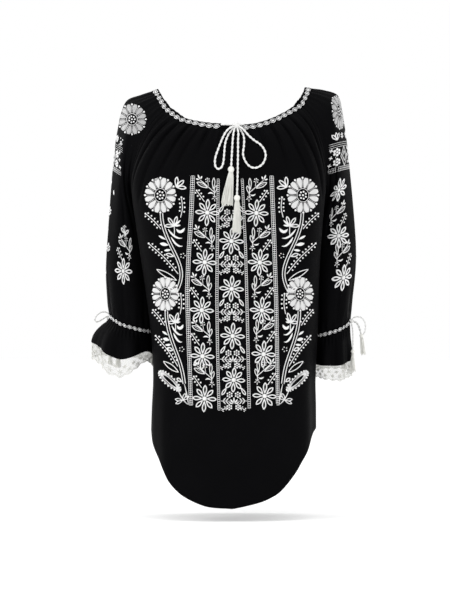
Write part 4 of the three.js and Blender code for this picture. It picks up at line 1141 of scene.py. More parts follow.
# %% Carry the chart onto the cloth
# the chart's middle line: across at its top, lean over its height, height of its top, height
MIRROR_X, MIRROR_LEAN, MIRROR_TOP, MIRROR_TALL = 231.5, 2.3, 178, 230


def seen_from_front(tree):
    """Carries squares of the chart onto the cloth behind them, with its normals."""
    eye = Vector(CAMERA * MM)

    def place(q):
        points, ways = [], []
        for px, py in q:
            target = Vector(((px - ORIGIN[0]) * SQUARE, PLANE_Y, (ORIGIN[1] - py) * SQUARE)) * MM
            ray = (target - eye).normalized()
            hit = tree.ray_cast(eye, ray)
            if hit[0] is None:
                hit = tree.find_nearest(target)
            n = hit[1] if hit[1].dot(ray) < 0 else -hit[1]
            points.append(hit[0])
            ways.append(n)
        return np.array(points) / MM, np.array(ways)
    return place


def flip(q):
    """The chart's other half: mirrored about its middle line, which leans a little."""
    q = np.array(q, float)
    q[:, 0] = 2 * (MIRROR_X + MIRROR_LEAN * (q[:, 1] - MIRROR_TOP) / MIRROR_TALL) - q[:, 0]
    return q


on_front = seen_from_front(search_tree(grid["front"]))

# %% Ladders
# row of the chart, left and right edge of the ladder there
LADDERS = {
    "outer_left": [(176, 190.4, 195.2), (215, 188.8, 193.6), (250, 186.6, 191.2), (290, 184.9, 189.5),
                   (340, 186.4, 191.0), (406, 189.0, 193.1)],
    "inner_left": [(179, 216.5, 220.1), (250, 215.2, 219.3), (300, 214.8, 218.9), (350, 215.6, 219.5),
                   (411, 217.1, 221.0)],
    "inner_right": [(179, 240.5, 244.0), (250, 243.9, 247.4), (330, 245.6, 249.6), (409, 247.1, 251.4)],
    "outer_right": [(176, 269.3, 273.9), (240, 271.9, 276.4), (298, 274.0, 278.2), (340, 274.9, 278.9),
                    (405, 276.0, 279.8)],
}
RUNG_PITCH = 2.1
hoop = Hoop(on_front)
for name, table in LADDERS.items():
    y, a, b = np.array(table, float).T
    outer = name.startswith("outer")
    ys = np.arange(y[0], y[-1], 1.5)
    xa, xb = np.interp(ys, y, a), np.interp(ys, y, b)
    inset = 0.1 if outer else 0.2
    for share in ((inset, 0.5, 1 - inset) if outer else (inset, 1 - inset)):
        hoop.stroke(np.stack([xa + (xb - xa) * share, ys], -1), 0.46, 0.9, curve=False)
    for yy in np.arange(y[0], y[-1], RUNG_PITCH):
        x0, x1 = np.interp(yy, y, a), np.interp(yy, y, b)
        edge_in = inset * (x1 - x0)
        hoop.stroke([(x0 + edge_in, yy), (x1 - edge_in, yy)], 0.8, 1.6, rise=0.45)
hoop.finish("front_ladders")

# %% [markdown]
# The middle strip repeats a daisy above a small group: two leaves, rows of dotted florets
# and a row of feathery sprigs. The borders repeat a daisy under a branch of buds.

# %% Middle strip and borders
MIDDLE_DAISIES = [(231.3, 195.0), (231.5, 241.0), (231.6, 288.8), (232.6, 336.0), (233.7, 380.0)]
LEFT_DAISIES = [(207.3, 212.6), (204.7, 262.3), (201.8, 310.2), (202.4, 356.2), (204.5, 398.6)]
RIGHT_DAISIES = [(256.4, 213.0), (259.8, 262.5), (261.8, 310.4), (263.6, 354.2), (264.6, 396.0)]


def feather(h, x, y, way):
    """A short stalk with two pairs of barbs."""
    h.stroke([(x - way * 3.6, y), (x + way * 3.6, y)], 0.55)
    for m in range(2):
        for s in (-1, 1):
            filled(h, (x - way * (1.4 - 3.0 * m), y), (x - way * (4.4 - 3.0 * m), y + s * 3.2), 0.6)


def middle_group(h, x, y):
    """What stands under a daisy of the middle strip."""
    for s in (-1, 1):
        outlined(h, (x + s * 7.4, y + 10.2), (x + s * 11.8, y + 17.0), 1.15, 1.15)
        floret(h, x + s * 4.1, y + 17.0)
        floret(h, x + s * 4.4, y + 29.4, 3.1)
        twig(h, [(x + s * 12.2, y + 32.6), (x + s * 8.4, y + 30.6)], 2, 1.4, 0.5)
        feather(h, x + s * 9.6 + 0.3, y + 23.2, s)
    fan(h, x + 0.3, y + 26.4, 7.0, -math.pi / 2, 5, 2.5, 0.7)
    h.stroke([(x - 6.0, y + 23.4), (x + 6.6, y + 23.4)], 0.45)


def branch(h, x, y, s):
    """Buds and leaves above a border's daisy; s is +1 when its stem leans to the right."""
    X = lambda dx: x + s * dx
    fan(h, X(-7.2), y - 32.6, 5.8, -math.pi / 2 - s * 0.4, 3, 1.7, 0.8)
    h.stroke([(X(-7.2), y - 32.6), (X(-3.4), y - 29.6), (X(0.8), y - 25.8), (X(4.4), y - 22.6),
              (X(6.8), y - 20.2), (X(7.2), y - 15.2)], 0.85)
    outlined(h, (X(0.2), y - 24.8), (X(-10.4), y - 30.4), 1.85, 0.95, 0.55)
    h.stroke([(X(-2.0), y - 26.2), (X(-7.6), y - 29.2)], 0.4)
    twig(h, [(X(1.2), y - 26.6), (X(0.1), y - 33.4)], 2, 1.5, 0.5, start=0.6, thread=0.6)
    outlined(h, (X(6.0), y - 23.6), (X(6.6), y - 34.8), 1.3, 0.9)
    outlined(h, (X(7.0), y - 19.0), (X(9.2), y - 27.2), 1.25, 0.9)
    filled(h, (X(6.4), y - 18.4), (X(0.8), y - 19.0), 0.75, bend=0.2)
    fan(h, X(7.4), y - 14.6, 3.6, math.pi / 2, 5, 5.0, 0.5)
    twig(h, [(X(-2.8), y - 10.8), (X(-6.2), y - 15.6), (X(-10.2), y - 21.4)], 3, 2.0, 0.7, start=0.34)


hoop = Hoop(on_front)
for m, (x, y) in enumerate(MIDDLE_DAISIES):
    last = m == len(MIDDLE_DAISIES) - 1
    if m > 0:  # the tassels hang over the first one's place
        daisy(hoop, x, y, 12.6 if last else 13.6, squash=0.93)
    middle_group(hoop, x, y - 2.2 if last else y)
for side, daisies in ((1, LEFT_DAISIES), (-1, RIGHT_DAISIES)):
    for x, y in daisies:
        daisy(hoop, x, y, 13.8, squash=0.9)
        branch(hoop, x, y, side)
hoop.finish("front_borders")

# %% [markdown]
# Each outer panel has two plants, one above the other: a sunflower on a swaying double stem,
# with twigs, sprays and leaves at set shares of its length. A bud fills the upper corner, and
# a beaded leaf and a second bud the foot.

# %% Outer panels
def double_stem(h, path, gap=1.25, thread=0.95):
    """Two lines side by side along a smooth path."""
    p = line(np.c_[np.array(path, float), np.zeros(len(path))])(np.linspace(0, 1, 60))[:, :2]
    g = unit(np.gradient(p, axis=0))
    side = np.stack([-g[:, 1], g[:, 0]], -1)
    for s in (-1, 1):
        h.stroke(p + side * s * gap, thread, curve=False)


def beaded_leaf(h, x0, y0, x1, y1, half):
    """An oval leaf of short bars between two rings, with knots round it."""
    base, tip = np.array([x0, y0], float), np.array([x1, y1], float)
    d = tip - base
    side = np.array([-d[1], d[0]]) / np.linalg.norm(d)
    w = 2 * math.pi * np.arange(44) / 44
    oval = lambda k: [(base + tip) / 2 + d / 2 * (0.4 + 0.6 * k) * math.cos(a)
                      + side * half * k * math.sin(a) * (1 - 0.12 * math.cos(a)) for a in w]
    for q in oval(1.0)[::2]:
        h.dot(*q, 0.95, 6)
    for a, b in zip(oval(0.84), oval(0.44)):
        h.stroke([a, b], 0.62)
    h.stroke(oval(0.86), 0.5, closed=True)
    h.stroke(oval(0.4), 0.6, closed=True)


def crescent(h, base, tip, belly, width):
    """A curved satin leaf: a bow from base to tip that hangs by belly and is widest inside."""
    base, tip = np.array(base, float), np.array(tip, float)
    t = np.linspace(0, 1, 6)[:, None]
    h.stroke(base + (tip - base) * t + np.array([0, belly]) * 4 * t * (1 - t),
             [0.5, 0.9 * width, width, 0.9 * width, 0.5])


def spray(h, base, k):
    """Three outlined leaves and two filled ones on a short stalk, with a crescent beside it."""
    x, y = base
    for angle in (0.05, 0.95, 1.85):
        outlined(h, base, polar(x, y, 10 * (k if angle < 0.5 else 1), math.pi + angle), 1.35, 1.25, 0.62)
    for angle, long in ((-0.75, 9.5), (-0.15, 7.0)):
        filled(h, base, polar(x, y, long * k, angle), 1.0)
    h.stroke([(x, y), (x + 0.4, y + 5), (x, y + 10)], 1.0)
    crescent(h, (x + 2.5 * k, y + 3), (x + 11.5 * k, y + 2), 3.2, 2.8)
    twig(h, [(x + 7 * k, y - 8.5), (x + 9 * k, y - 18), (x + 8 * k, y - 28)], 4, 2.1, 0.72, start=0.3)


# share down the stem, turn above level, length, half width, filled or outlined
STEM_LEAVES = [(0.33, 0.5, 8, 1.1, True), (0.4, 0.2, 8.5, 1.7, True), (0.46, -0.1, 6.5, 1.2, True),
               (0.54, 0.3, 8, 1.4, False), (0.97, 0.5, 7, 1.3, False)]
# share down the stem, reach outward and upward, pairs of buds
STEM_TWIGS = [(0.2, 15, 15, 5), (0.76, 29, 30, 9)]


def plant(h, satin, flower, r, squash, drop, drift, sway, k):
    """A sunflower on a double stem that sways inward, with leaves and twigs on both sides."""
    x, y = flower
    sunflower(h, x, y, r, squash=squash, satin=satin)
    at = lambda t: np.array([x + 1 + drift * t * t + sway * math.sin(math.pi * t ** 1.8),
                             y + r + (drop - r) * t])
    double_stem(h, [at(t) for t in np.linspace(0, 1, 11)])
    for t, turn, long, half, full in STEM_LEAVES:
        base = at(t) + (-2.4, 0)
        tip = base + np.array([-math.cos(turn) * k, -math.sin(turn)]) * long
        filled(h, base, tip, half) if full else outlined(h, base, tip, half, 1.25)
    for t, out, up, pairs in STEM_TWIGS:
        base = at(t) + (-3, 0)
        way = np.array([-out * k, -up])
        twig(h, [base, base + way * (0.45, 0.52), base + way], pairs, 2.0, 0.68)
    outlined(h, at(0.84) + (-4, 0), at(0.84) + (-4 - 20 * k, -11), 2.2, 0.95, 0.5)
    for t, reach in ((0.2, 14), (0.3, 11.5)):
        crescent(h, at(t) + (4, 0), at(t) + (4 + reach * k, 9), 3.0, 1.9)
    spray(h, at(0.2) + np.array([10 * k, -3]), 0.92 * k)
    for m in range(5):
        h.dot(*(at(0.6) + polar(4.5, -5.5, 2.2, 1.26 * m)), 0.62, 6)


def outer_panel(h, satin):
    """The left panel: two plants one above the other, a bud above and a leaf and bud below."""
    plant(h, satin, (160.4, 195.2), 17.9, 0.88, 98, 14, 12.5, 1.0)
    plant(h, satin, (165.3, 293.9), 17.2, 0.77, 90, 18, 4.5, 0.75)
    for angle in (-1.5, -0.7, 0.1):  # the bud at the upper corner
        outlined(h, (176.2, 187.0), polar(176.2, 187.0, 10, angle), 1.5, 1.3, 0.62)
    beaded_leaf(h, 159.4, 371.6, 180.2, 390.6, 4.7)
    crescent(h, (178, 390), (188.5, 404.5), 2.4, 1.2)
    crescent(h, (184.4, 384), (188.5, 404.5), -1.2, 1.2)
    for angle in (-1.2, -0.6, 2.7, 3.3):  # and the one at the foot
        outlined(h, (182.6, 400.4), polar(182.6, 400.4, 7.5, angle), 1.2, 0.95)


hoop, satin = Hoop(on_front), Hoop(on_front)
outer_panel(hoop, satin)
hoop.turn = satin.turn = flip
outer_panel(hoop, satin)
hoop.finish("front_plants")
satin.finish("front_petals", SATIN)

# %% [markdown]
# ## Chain trim on the bands
# The neck binding and the cuff bands carry a white chain: two satin strands cross and part
# again round small filled leaves. It is drawn on a strip as long as the band and laid on
# its outer face, and it stops where the drawstring comes out.

# %% Chain trim
def on_band(ring, thick):
    """A strip's chart, in millimetres along the ring and away from the cloth, and its length."""
    p, e, n = (np.concatenate([a, a[:1]]) for a in ring)
    along = lengths(p)

    def place(q):
        s = np.mod(q[:, 0], along[-1])
        P, E, M = (np.stack([np.interp(s, along, a[:, k]) for k in range(3)], -1) for a in (p, e, n))
        return P + E * q[:, 1:] + unit(M) * (thick - CLOTH) / 2, unit(M)
    return place, along[-1]


def chain(name, ring, size, pitch, half, thread, middle, look, skip=None):
    """Two strands that cross along a band, with a leaf in each link that isn't skipped."""
    place, total = on_band(ring, size[1])
    links = int(round(total / pitch / 2)) * 2
    pitch = total / links
    h, fill = Hoop(place, 1.0), Hoop(place, 1.0)
    h.bold = fill.bold = 1 / BOLD
    for m in range(links):
        x = (m + 0.5) * pitch
        if skip and skip(place(np.array([[x, middle]]))[0][0]):
            continue
        fill.stroke([(x - pitch * 0.29, middle), (x, middle), (x + pitch * 0.29, middle)],
                    [0.4, 0.9 * half, 1.15 * half, 0.9 * half, 0.4], pitch / 12, rise=0.5)
        t = np.linspace(-0.53, 0.53, 15)
        for s in (-1, 1):
            bow = np.cos(math.pi * np.clip(t, -0.62, 0.62)) * half
            h.stroke(np.stack([x + t * pitch, middle + s * bow], -1),
                     [0.3 * thread, 0.9 * thread, 1.2 * thread, 0.9 * thread, 0.3 * thread],
                     pitch / 13, curve=False, rise=0.85 if s > 0 else 0.7)
    h.finish(name)
    fill.finish(name + "_fill", look)


chain("neck_chain", neck_ring, BINDING, 13.8, 3.75, 1.6, 2.8, SATIN,
      lambda p: p[1] < 0 and -20 < p[0] < 23)
for side in ("left", "right"):
    chain(f"cuff_chain_{side}", CUFF_RING[side], BAND, 9.6, 2.9, 1.3, 3.3, THREAD)

# %% [markdown]
# ## The sleeves
# A sleeve is embroidered flat, before its seam is closed. Its chart counts squares across
# from the outer line and down from the neck, measured along the cloth itself, so a motif
# keeps its size as it goes round the arm. Two ladders cross the upper arm with posies and
# lozenges between them, sunflowers sit on the shoulder and daisies run down to the cuff.

# %% Sleeve chart
ARM_AXIS, ARM_RADIUS = (170.0, 5.0), 27.8   # axis of the upper arm in mm, its radius in squares
ARM_OUTER = 200.0                   # how far out a ring keeps its height


def on_sleeve(side):
    """The flat sleeve's chart: squares from the outer line and down from the neck."""
    g, n = grid[side], N[side]
    rows, cols = g.shape[0], g.shape[1]
    middle = (cols - 1) // 2
    down = lengths(g[:, middle]) / SQUARE
    steps = np.linalg.norm(np.diff(g, axis=1), axis=2)
    across = np.concatenate([np.zeros((rows, 1)), np.cumsum(steps, axis=1)], 1) / SQUARE
    across -= across[:, middle:middle + 1]

    def place(q):
        r = np.clip(np.interp(q[:, 1], down, np.arange(rows)), 0, rows - 1.001)
        i, f = r.astype(int), (r % 1)[:, None]
        c = np.array([np.interp(a, across[k] * (1 - w) + across[k + 1] * w, np.arange(cols))
                      for a, k, w in zip(q[:, 0], i, f[:, 0])])
        c = np.clip(c, 0, cols - 1.001)
        j, h = c.astype(int), (c % 1)[:, None]
        at = lambda m: ((1 - f) * ((1 - h) * m[i, j] + h * m[i, j + 1])
                        + f * ((1 - h) * m[i + 1, j] + h * m[i + 1, j + 1]))
        return at(g), unit(at(n))
    return place


def round_arm(side, tilt):
    """A chart of rings round the upper arm: squares from the front outward, and down."""
    tree, way = search_tree(grid[side]), -1 if side == "left" else 1

    def place(q):
        points, ways = [], []
        for a, b in q:
            ray = Vector((way * math.sin(a / ARM_RADIUS), -math.cos(a / ARM_RADIUS), 0))
            z = -b * SQUARE
            for _ in range(3):
                start = Vector((way * ARM_AXIS[0], ARM_AXIS[1], z)) * MM
                hit, n = tree.ray_cast(start, ray)[:2]
                if hit is None:
                    hit, n = tree.find_nearest(start + ray * 0.05)[:2]
                z = -b * SQUARE + tilt * (way * hit.x / MM - ARM_OUTER)
            points.append(hit)
            ways.append(n if n.dot(ray) > 0 else -n)
        return np.array(points) / MM, np.array(ways)
    return place


def set_at(h, a, b, size=1.0, across=None):
    """Moves the chart's origin, so a motif drawn round zero lands at (a, b)."""
    k = np.array([across or size, size])
    h.turn = lambda q: np.asarray(q, float) * k + (a, b)


def lozenge(h, r):
    """Two diamonds, one inside the other."""
    for k, w in ((1.0, 1.0), (0.52, 1.1)):
        h.stroke([(0, -r * 1.15 * k), (r * 0.8 * k, 0), (0, r * 1.15 * k), (-r * 0.8 * k, 0)], w,
                 closed=True, curve=False)


def cross(h, x, y, r=2.3):
    for a in (0.4, 0.4 + math.pi / 2):
        h.stroke([polar(x, y, -r, a), polar(x, y, r, a)], 1.1)


def posy(h):
    """Two round flowers with small crosses beside them."""
    floret(h, 1.6, -5.0, 4.0, 6, 1.45)
    floret(h, 1.8, 4.8, 3.8, 6, 1.4)
    for x, y in ((-4.3, -0.6), (-5.2, 6.6), (-3.9, -7.8)):
        cross(h, x, y, 2.0)
    h.stroke([(0.2, -0.9), (0.4, 0.9)], 0.6)


def armband(h, top, foot, start, end, lean):
    """Two ladders round the arm with posies and lozenges between them."""
    for b in (top, foot):
        h.turn = None
        first = start + lean * (b == foot)
        across = np.arange(first, end + 0.1, 1.5)
        for off in (-2.0, 0.0, 2.0):
            h.stroke(np.stack([across, np.full(len(across), b + off)], -1), 0.45, 1.5, curve=False)
        if b == foot:
            for a in np.arange(first, end + 0.1, 2.4):
                h.stroke([(a, b - 2.0), (a, b + 2.0)], 0.4, 1.5)
    for m, a in enumerate(np.arange(start + lean + 6, end - 4, 13.5)):
        set_at(h, a, (top + foot) / 2)
        if m % 2 == 0:
            posy(h)
        else:
            lozenge(h, 8.6)


# %% [markdown]
# The strips below the armband are listed by their place on the chart, and the outer side
# carries the same kind of work. One sunflower faces straight ahead, so it is projected like
# the front's chart.

# %% Embroider the sleeves
SLEEVE_WORK = {
    # squares across and down of each motif, with a radius for a sunflower; ahead: place,
    # radius and squash on the front's chart; band: upper and lower row, start, end and lean
    "left": dict(ahead=[(132.0, 119.3, 15.4, 0.93)], suns=[(24, 38, 15.0), (52, 40, 12.0)],
                 tilt=0.72, band=(59.6, 84.0, 12.5, 82, 3.5), clusters=[29, 53, 77], knots=[(16.5, 53.4)],
                 daisies=[(5, 114), (5, 162), (5, 206)], sprays=[(-37, 199), (40, 199)], narrow=0.72,
                 dots=[(-8.5, 143.0), (-12.5, 179.5)]),
    "right": dict(ahead=[], suns=[(-17.5, 43.5, 17.4), (16, 40, 15.0), (43, 39, 12.0)],
                  tilt=0.31, band=(54.0, 78.4, 2.5, 82, 0), clusters=[10, 34, 58, 80], knots=[],
                  daisies=[(-33, 118.5), (-35, 169.5), (-31.8, 211.5)], sprays=[(8, 195.5), (40, 150)],
                  narrow=0.95, dots=[(24, 135.5), (24, 177)]),
}
for side, work in SLEEVE_WORK.items():
    chart = Hoop(on_sleeve(side))
    satin = Hoop(chart.place)
    for a, b, r in work["suns"]:
        set_at(chart, a, b)
        satin.turn = chart.turn
        sunflower(chart, 0, 0, r, satin=satin)
    satin.finish(f"sleeve_{side}_petals", PETAL)
    chart.bold = 1.15
    for m, (a, b) in enumerate(work["daisies"] + work["sprays"]):
        set_at(chart, a, b, 0.97, across=0.97 if m < 3 else work["narrow"])
        daisy(chart, 0, 0, 13.2)
        if m > 0:
            branch(chart, 0, 0, -1)
    for a, b in work["sprays"]:
        set_at(chart, a + 1.5, b - 34, 0.85, across=0.88 * work["narrow"])
        twig(chart, [(1, 1), (0.4, -6), (1.6, -13)], 3, 1.9, 0.7)
        outlined(chart, (0.6, -4), (6.4, -10.5), 1.5, 1.3)
        outlined(chart, (0.4, -2), (-5.2, -9.0), 1.5, 1.3)
    for a, b in work["dots"]:
        set_at(chart, a, b, 0.9)
        floret(chart, 0, 0, 4.4, 6, 1.3)
        chart.dot(0, -4.6, 1.2)
    if side == "left":
        chart.turn = None
        filled(chart, (-15.4, 120.0), (-16.6, 125.0), 1.2)
    chart.finish(f"sleeve_{side}_embroidery")

    rings = Hoop(round_arm(side, work["tilt"]))
    armband(rings, *work["band"])
    for a in work["clusters"]:
        set_at(rings, a, work["band"][0] - 4.4)
        for way in (-2.2, -1.65, -1.1):
            outlined(rings, polar(0, 0, 0.8, way), polar(0, 0, 8.2, way), 1.15, 1.1)
        floret(rings, 9.2, -4.4, 3.0, 6, 0.95)
    for a, b in work["knots"]:
        set_at(rings, a, b)
        floret(rings, 0, 0, 2.4, 5, 0.8)
        for x, y in ((-2.6, -4.4), (1.6, -5.0), (3.8, 2.6)):
            rings.dot(x, y, 0.8, 6)
    rings.finish(f"sleeve_{side}_armband")

    for x, y, r, squash in work["ahead"]:
        facing = Hoop(seen_from_front(search_tree(grid[side])))
        satin = Hoop(facing.place)
        sunflower(facing, x, y, r, squash, satin=satin)
        facing.finish(f"sleeve_{side}_sunflower")
        satin.finish(f"sleeve_{side}_sunflower_petals", PETAL)


# %% [markdown]
# ## Drawstring and cuff ties
# The drawstring comes out of the binding at the middle of the neck and is tied in a bow. A
# loose cord lies on the cloth and bends softly under its own weight, so the routes are
# smooth lines that hang close in front of the gathers.

# %% Cord routes
# The middle lines of the cords: millimetres, in the part's own frame.
BOW_KNOT = [[-19, -101, -66.5], [-10, -102.2, -66.5], [0, -104.6, -67], [8, -106.5, -68],
            [14, -104.2, -67.5], [22, -98.8, -66]]
BOW_AT = (8, -106.5, -68)
ROUTES = {
    "bow_loop_left": [[2, -109, -70.8], [-5, -110.3, -75], [-11, -110.4, -82], [-17, -112, -94],
                      [-24, -115.3, -112], [-29, -118, -128], [-29, -119.7, -141],
                      [-24, -120.4, -147], [-18, -120, -144], [-14.5, -118.8, -134],
                      [-13, -116.5, -118], [-11, -113.4, -100], [-6.5, -109, -87], [-2, -106, -80]],
    "bow_loop_right": [[14, -109, -70.8], [21, -110, -76], [30, -109.8, -86.5], [41, -110.4, -96],
                       [51, -112.8, -103], [58.5, -114.2, -113], [60.5, -116.6, -125],
                       [55, -119.2, -138], [45, -119.9, -144.5], [34, -119.8, -143.5],
                       [25, -118.5, -134], [20.5, -116.9, -121], [22, -113.9, -105],
                       [22, -109.4, -90], [17, -105.4, -78]],
    "bow_end_left": [[5.7, -109, -74.1], [3.6, -111, -82], [2.2, -113.4, -94], [1, -115.6, -112],
                     [-0.6, -121.4, -141.2]],
    "bow_end_right": [[10.3, -109, -74.1], [12.1, -111.2, -82], [11.5, -113.8, -96],
                      [11.5, -115.8, -110], [11, -119.6, -140], [10.4, -123.4, -168],
                      [9.6, -127, -192.6]],
    "tie_loop_right": [[223.5, 19, -413], [231, 17, -410.5], [239.6, 15, -413.4], [245, 14, -423],
                       [244.8, 14, -436], [239.6, 14, -444], [235.4, 14.6, -436], [232, 16, -426],
                       [226.6, 17, -420.4]],
    "tie_end_a_right": [[219.8, 13.5, -423], [221.6, 8, -434], [222, 4.5, -450], [221.6, 2.4, -468.4]],
    "tie_end_b_right": [[225, 15, -418.8], [230.5, 10.5, -423], [235.4, 7.5, -432], [236.8, 6.6, -440]],
    "tie_loop_left": [[-228, 58, -404], [-235, 57.5, -401.5], [-243, 57.5, -403.5],
                      [-249.5, 57.8, -409.5], [-252.5, 58, -415.5], [-250, 58.2, -419.8],
                      [-244, 58.6, -418.6], [-236.5, 59, -414], [-230.5, 59.6, -410.5]],
    "tie_end_a_left": [[-228, 63, -411], [-230, 78, -418], [-228.5, 95, -434], [-226, 103, -459.6]],
    "tie_end_b_left": [[-220.5, 65.5, -410], [-217.5, 86, -414], [-213.5, 101, -426],
                       [-211.4, 106, -444], [-211, 107, -463.6]],
}
# middle and radius of each knot
KNOT = {"bow": (BOW_AT, 5.9), "right": ((219.6, 17.6, -418), 3.4), "left": ((-223.2, 59.2, -407.6), 3.4)}
# middle and radius of the head; length, spread, depth, drift and lean of the skirt; strands
TASSELS = {
    "tassel_left": ((-1, -123.4, -148), 5.4, 62, 11, 3.6, -7, -5.4, 85),
    "tassel_right": ((9.6, -128, -199), 5.4, 59, 8.5, 3.8, -0.5, 0, 85),
    "tie_tassel_a_right": ((221.6, 2, -473.4), 3.4, 38, 5, 4, 0, 0, 18),
    "tie_tassel_b_right": ((237.4, 6.3, -444.8), 3.4, 34, 5, 4, 4, 0, 18),
    "tie_tassel_a_left": ((-225.8, 104, -464.5), 3.4, 36, 5, 4, 0, 0, 18),
    "tie_tassel_b_left": ((-211, 107, -468.5), 3.4, 36, 5, 4, 0, 0, 18),
}
CORD_THICK = {"bow": 4.0, "tie": 3.2}

# %% [markdown]
# A tassel is a hank of yarn folded over the cord's end and bound round with thread. Its
# strands start inside the head and fall almost straight, spreading a little at the tips.

# %% Tassels
GOLDEN_TURN = 2.39996               # angle between strands, so that they fill a disc evenly


def wrapped_head(at, radius, tall=1.05, half_turns=7):
    """A ball of yarn: a squashed sphere whose surface is wound with thread."""
    rows, cols = 20, 28
    v, w = np.meshgrid(np.linspace(0, math.pi, rows + 1), 2 * math.pi * np.arange(cols) / cols,
                       indexing="ij")
    r = radius * (1 + 0.045 * np.sin(w * 9 + 3 * v) * np.sin(v))
    p = np.stack([r * np.sin(v) * np.cos(w), r * 0.95 * np.sin(v) * np.sin(w),
                  r * tall * np.cos(v)], -1) + np.array(at)
    faces = ring_faces(rows + 1, cols, False)[:, [0, 3, 2, 1]]
    neck_z = at[2] - radius * 0.82
    t = np.linspace(0, half_turns * math.pi, half_turns * 12)
    coil = np.stack([at[0] + radius * 0.66 * np.cos(t), at[1] + radius * 0.62 * np.sin(t),
                     neck_z - 1.6 * (t / t[-1] - 0.5) * radius / 5.4], -1)
    return [(p.reshape(-1, 3), faces), tube(coil, radius * 0.085, 5)]


def tassel(name):
    """Makes one tassel of loose strands and tells how many faces it has."""
    at, head, skirt, wide, deep, drift, lean, count = TASSELS[name]
    rnd = random.Random(name)
    parts = wrapped_head(at, head)
    thick = 0.44 if head > 5 else 0.46
    for m in range(count):
        r = math.sqrt((m + 0.5) / count)
        w = m * GOLDEN_TURN
        x, y = math.cos(w) * r, math.sin(w) * r
        long = skirt * (0.9 + 0.12 * rnd.random())
        wig = rnd.uniform(-1, 1) * 0.9, rnd.uniform(-1, 1) * 0.5
        t = np.linspace(0, 1, 8)
        open_ = t ** 0.8
        px = at[0] + x * (head * 0.58 * (1 - open_) + wide * open_) + drift * t + wig[0] * np.sin(t * 5 + m)
        py = at[1] + y * (head * 0.55 * (1 - open_) + deep * open_) + lean * t + wig[1] * np.sin(t * 4 + m)
        pz = at[2] - head * 0.45 - long * t
        px[0], py[0] = at[0] + x * head * 0.55, at[1] + y * head * 0.5
        parts.append(tube(np.stack([px, py, pz], -1), np.linspace(thick, thick * 1.15, 8), 5))
    points, faces = join(parts)
    PIECES[name] = mesh_piece(name + "_yarn", points, faces, TASSEL, [name])
    return len(faces)


for name in TASSELS:
    print(name, TASSELS[name][7], "strands,", tassel(name), "faces")

# %% [markdown]
# The cord itself is two plies twisted together. It is a tube with a two-lobed section that
# turns as it runs. Its route starts inside the knot and ends inside the tassel's head, or back
# in the knot where it is a loop.

# %% Cords
def cord_piece(name, route, exit_at, thick):
    path = resample(line(route)(np.linspace(0, 1, 400)), 0.7)
    points, faces = tube(path, thick / 2 * 0.98, 12, lobes=2, twist=thick * 1.9, depth=0.6)
    piece = mesh_piece(name + "_cord", points, faces, CORD, [name])
    length = float(np.linalg.norm(np.diff(path, axis=0), axis=1).sum()) * MM
    [c * MM for c in exit_at]
    print("%s: %.0f mm of %.1f mm cord" % (name, length / MM, thick))


for name, route in ROUTES.items():
    thick = CORD_THICK[name[:3]]
    at, radius = KNOT["bow" if name.startswith("bow") else name.rsplit("_", 1)[1]]
    route = [list(at), *route]
    tassel_name = name.replace("bow_end", "tassel").replace("tie_end", "tie_tassel")
    if tassel_name in TASSELS:
        route.append(list(TASSELS[tassel_name][0]))
        cord_piece(name, route, at, thick)
    else:
        route.append(list(at))
        cord_piece(name, route, at, thick)

# %% [markdown]
# A knot is the same cord wound over itself. The bow's knot has three turns over the cord that
# comes out of the binding; the cuff ties have smaller ones.

# %% Knots
KNOT_TURNS = 3


def wound(at, radius, thick, turns, lean=0.5):
    """Turns of cord round a knot."""
    t = np.linspace(0, turns * 2 * math.pi, int(turns * 26))
    r = radius - thick / 2
    across = (t / t[-1] - 0.5) * thick * turns * 0.75
    coil = np.stack([at[0] + across, at[1] - r * np.cos(t), at[2] + r * np.sin(t) + lean * across * 0.3], -1)
    return tube(resample(coil, 0.6), thick / 2, 10, lobes=2, twist=thick * 0.9, depth=0.25)


def core(at, radius):
    """What the turns are wound on."""
    return tube([[at[0] - radius * 0.7, at[1], at[2]], [at[0], at[1], at[2]],
                 [at[0] + radius * 0.7, at[1], at[2]]], [radius * 0.45, radius * 0.6, radius * 0.45], 10)


drawn = tube(resample(line(BOW_KNOT)(np.linspace(0, 1, 120)), 0.7), 2.0, 12, lobes=2, twist=3.6, depth=0.3)
points, faces = join([drawn, wound(*KNOT["bow"], 3.6, KNOT_TURNS), core(BOW_AT, 5.0)])
mesh_piece("bow_knot_cord", points, faces, CORD, ["bow_knot"])
for side in ("left", "right"):
    at, radius = KNOT[side]
    points, faces = join([wound(at, radius + 0.3, 2.4, KNOT_TURNS), core(at, radius)])
    mesh_piece(f"tie_knot_{side}_cord", points, faces, CORD, [f"tie_knot_{side}"])
print("knots: bow and two cuff ties")

# %% [markdown]
# ## The cut sizes
# A table lists each cloth piece with the size it was cut to: the panels are wider at the top
# than the finished neck, because the gathers take the rest up.

SHEETS = {
    "front": ((0.50, 0.72), "gathered", ["binding"], 0.305),
    "back": ((0.42, 0.72), "gathered", ["binding"], 0.245),
    "left": ((0.29, 0.42), "gathered", ["binding"], 0.098),
    "right": ((0.29, 0.43), "gathered", ["binding"], 0.100),
    "binding": ((0.85, 0.014), "stretched", ["front"], None),
    "band_left": ((0.26, 0.0105), "stretched", ["left"], None),
    "band_right": ((0.25, 0.0105), "stretched", ["right"], None),
    "ruffle_left": ((0.36, 0.050), "gathered", ["band_left"], None),
    "ruffle_right": ((0.33, 0.052), "gathered", ["band_right"], None),
}
# the start of the names of what is sewn on each
SEWN_ON = {"front": "front_", "left": "sleeve_left_", "right": "sleeve_right_", "binding": "neck_chain",
           "band_left": "cuff_chain_left", "band_right": "cuff_chain_right",
           "ruffle_left": "lace_left", "ruffle_right": "lace_right"}
for name, (flat, held, on, area) in SHEETS.items():
    trims = [p for k, p in PIECES.items() if name in SEWN_ON and k.startswith(SEWN_ON[name])]
    print(name, "carries", len(trims), "pieces")
print("declared", len(SHEETS), "cloth pieces")

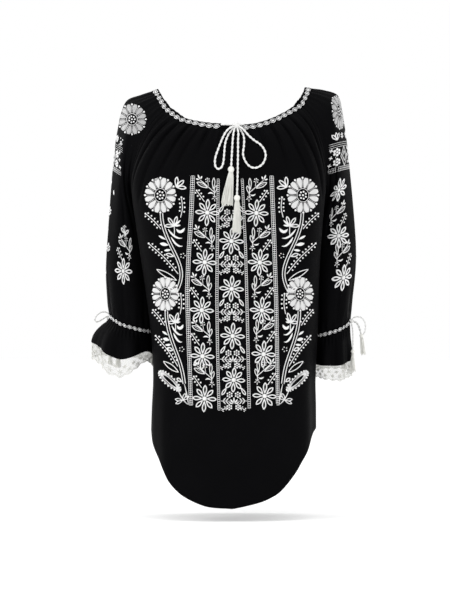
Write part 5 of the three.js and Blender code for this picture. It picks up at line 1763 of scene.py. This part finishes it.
# %% [markdown]
# ## Floor and light
# A plain pale floor and soft light from large panels keep the black cloth readable: light
# that grazes the gathers from above and the side draws their ridges.

# %% Floor and lights
def floor_look(tree):
    place, _ = axes(tree)
    return {"Base Color": blend_colours(tree, noise(tree, place, 3.0), (0.9, 0.9, 0.9), (0.93, 0.93, 0.93))}


def disc(name, radius, z, sides=96):
    """A round floor that stays out of the model."""
    a = 2 * math.pi * np.arange(sides) / sides
    points = [(math.cos(t) * radius, math.sin(t) * radius, z) for t in a]
    mesh = bpy.data.meshes.new(name)
    mesh.from_pydata(points, [], [list(range(sides))])
    mesh.materials.append(finish_of("pale_floor", floor_look, Roughness=0.9, Specular_IOR_Level=0.1,
                                    Emission_Color=(1, 1, 1, 1), Emission_Strength=0.12))
    floor = bpy.data.objects.new(name, mesh)
    bpy.context.scene.collection.objects.link(floor)


disc("floor", 12.0, -0.775)


def soft_light(name, place, aim, size, power):
    """A rectangular lamp that faces a point."""
    data = bpy.data.lights.new(name, "AREA")
    data.shape, data.size, data.size_y, data.energy = "RECTANGLE", size[0], size[1], power
    lamp = bpy.data.objects.new(name, data)
    bpy.context.scene.collection.objects.link(lamp)
    lamp.location = place
    lamp.rotation_euler = (Vector(aim) - Vector(place)).to_track_quat("-Z", "Y").to_euler()


AIM_AT = (0, 0, -0.35)
soft_light("key_light", (-2.3, -1.5, 1.1), AIM_AT, (0.9, 1.4), 20)
soft_light("fill_light", (2.0, -2.4, 0.2), AIM_AT, (1.8, 1.8), 4)
soft_light("rim_left", (-2.2, 1.4, 0.8), AIM_AT, (0.8, 1.6), 16)
soft_light("rim_right", (2.2, 1.4, 0.8), AIM_AT, (0.8, 1.6), 16)
soft_light("top_light", (0, -0.4, 2.2), AIM_AT, (1.6, 0.8), 14)

world = bpy.data.worlds.new("studio")
bpy.context.scene.world = world
world.use_nodes = True
world.node_tree.nodes["Background"].inputs[0].default_value = (1, 1, 1, 1)
world.node_tree.nodes["Background"].inputs[1].default_value = 1.0
bpy.context.scene.view_settings.view_transform = "Standard"
print("floor, five lights and a white studio")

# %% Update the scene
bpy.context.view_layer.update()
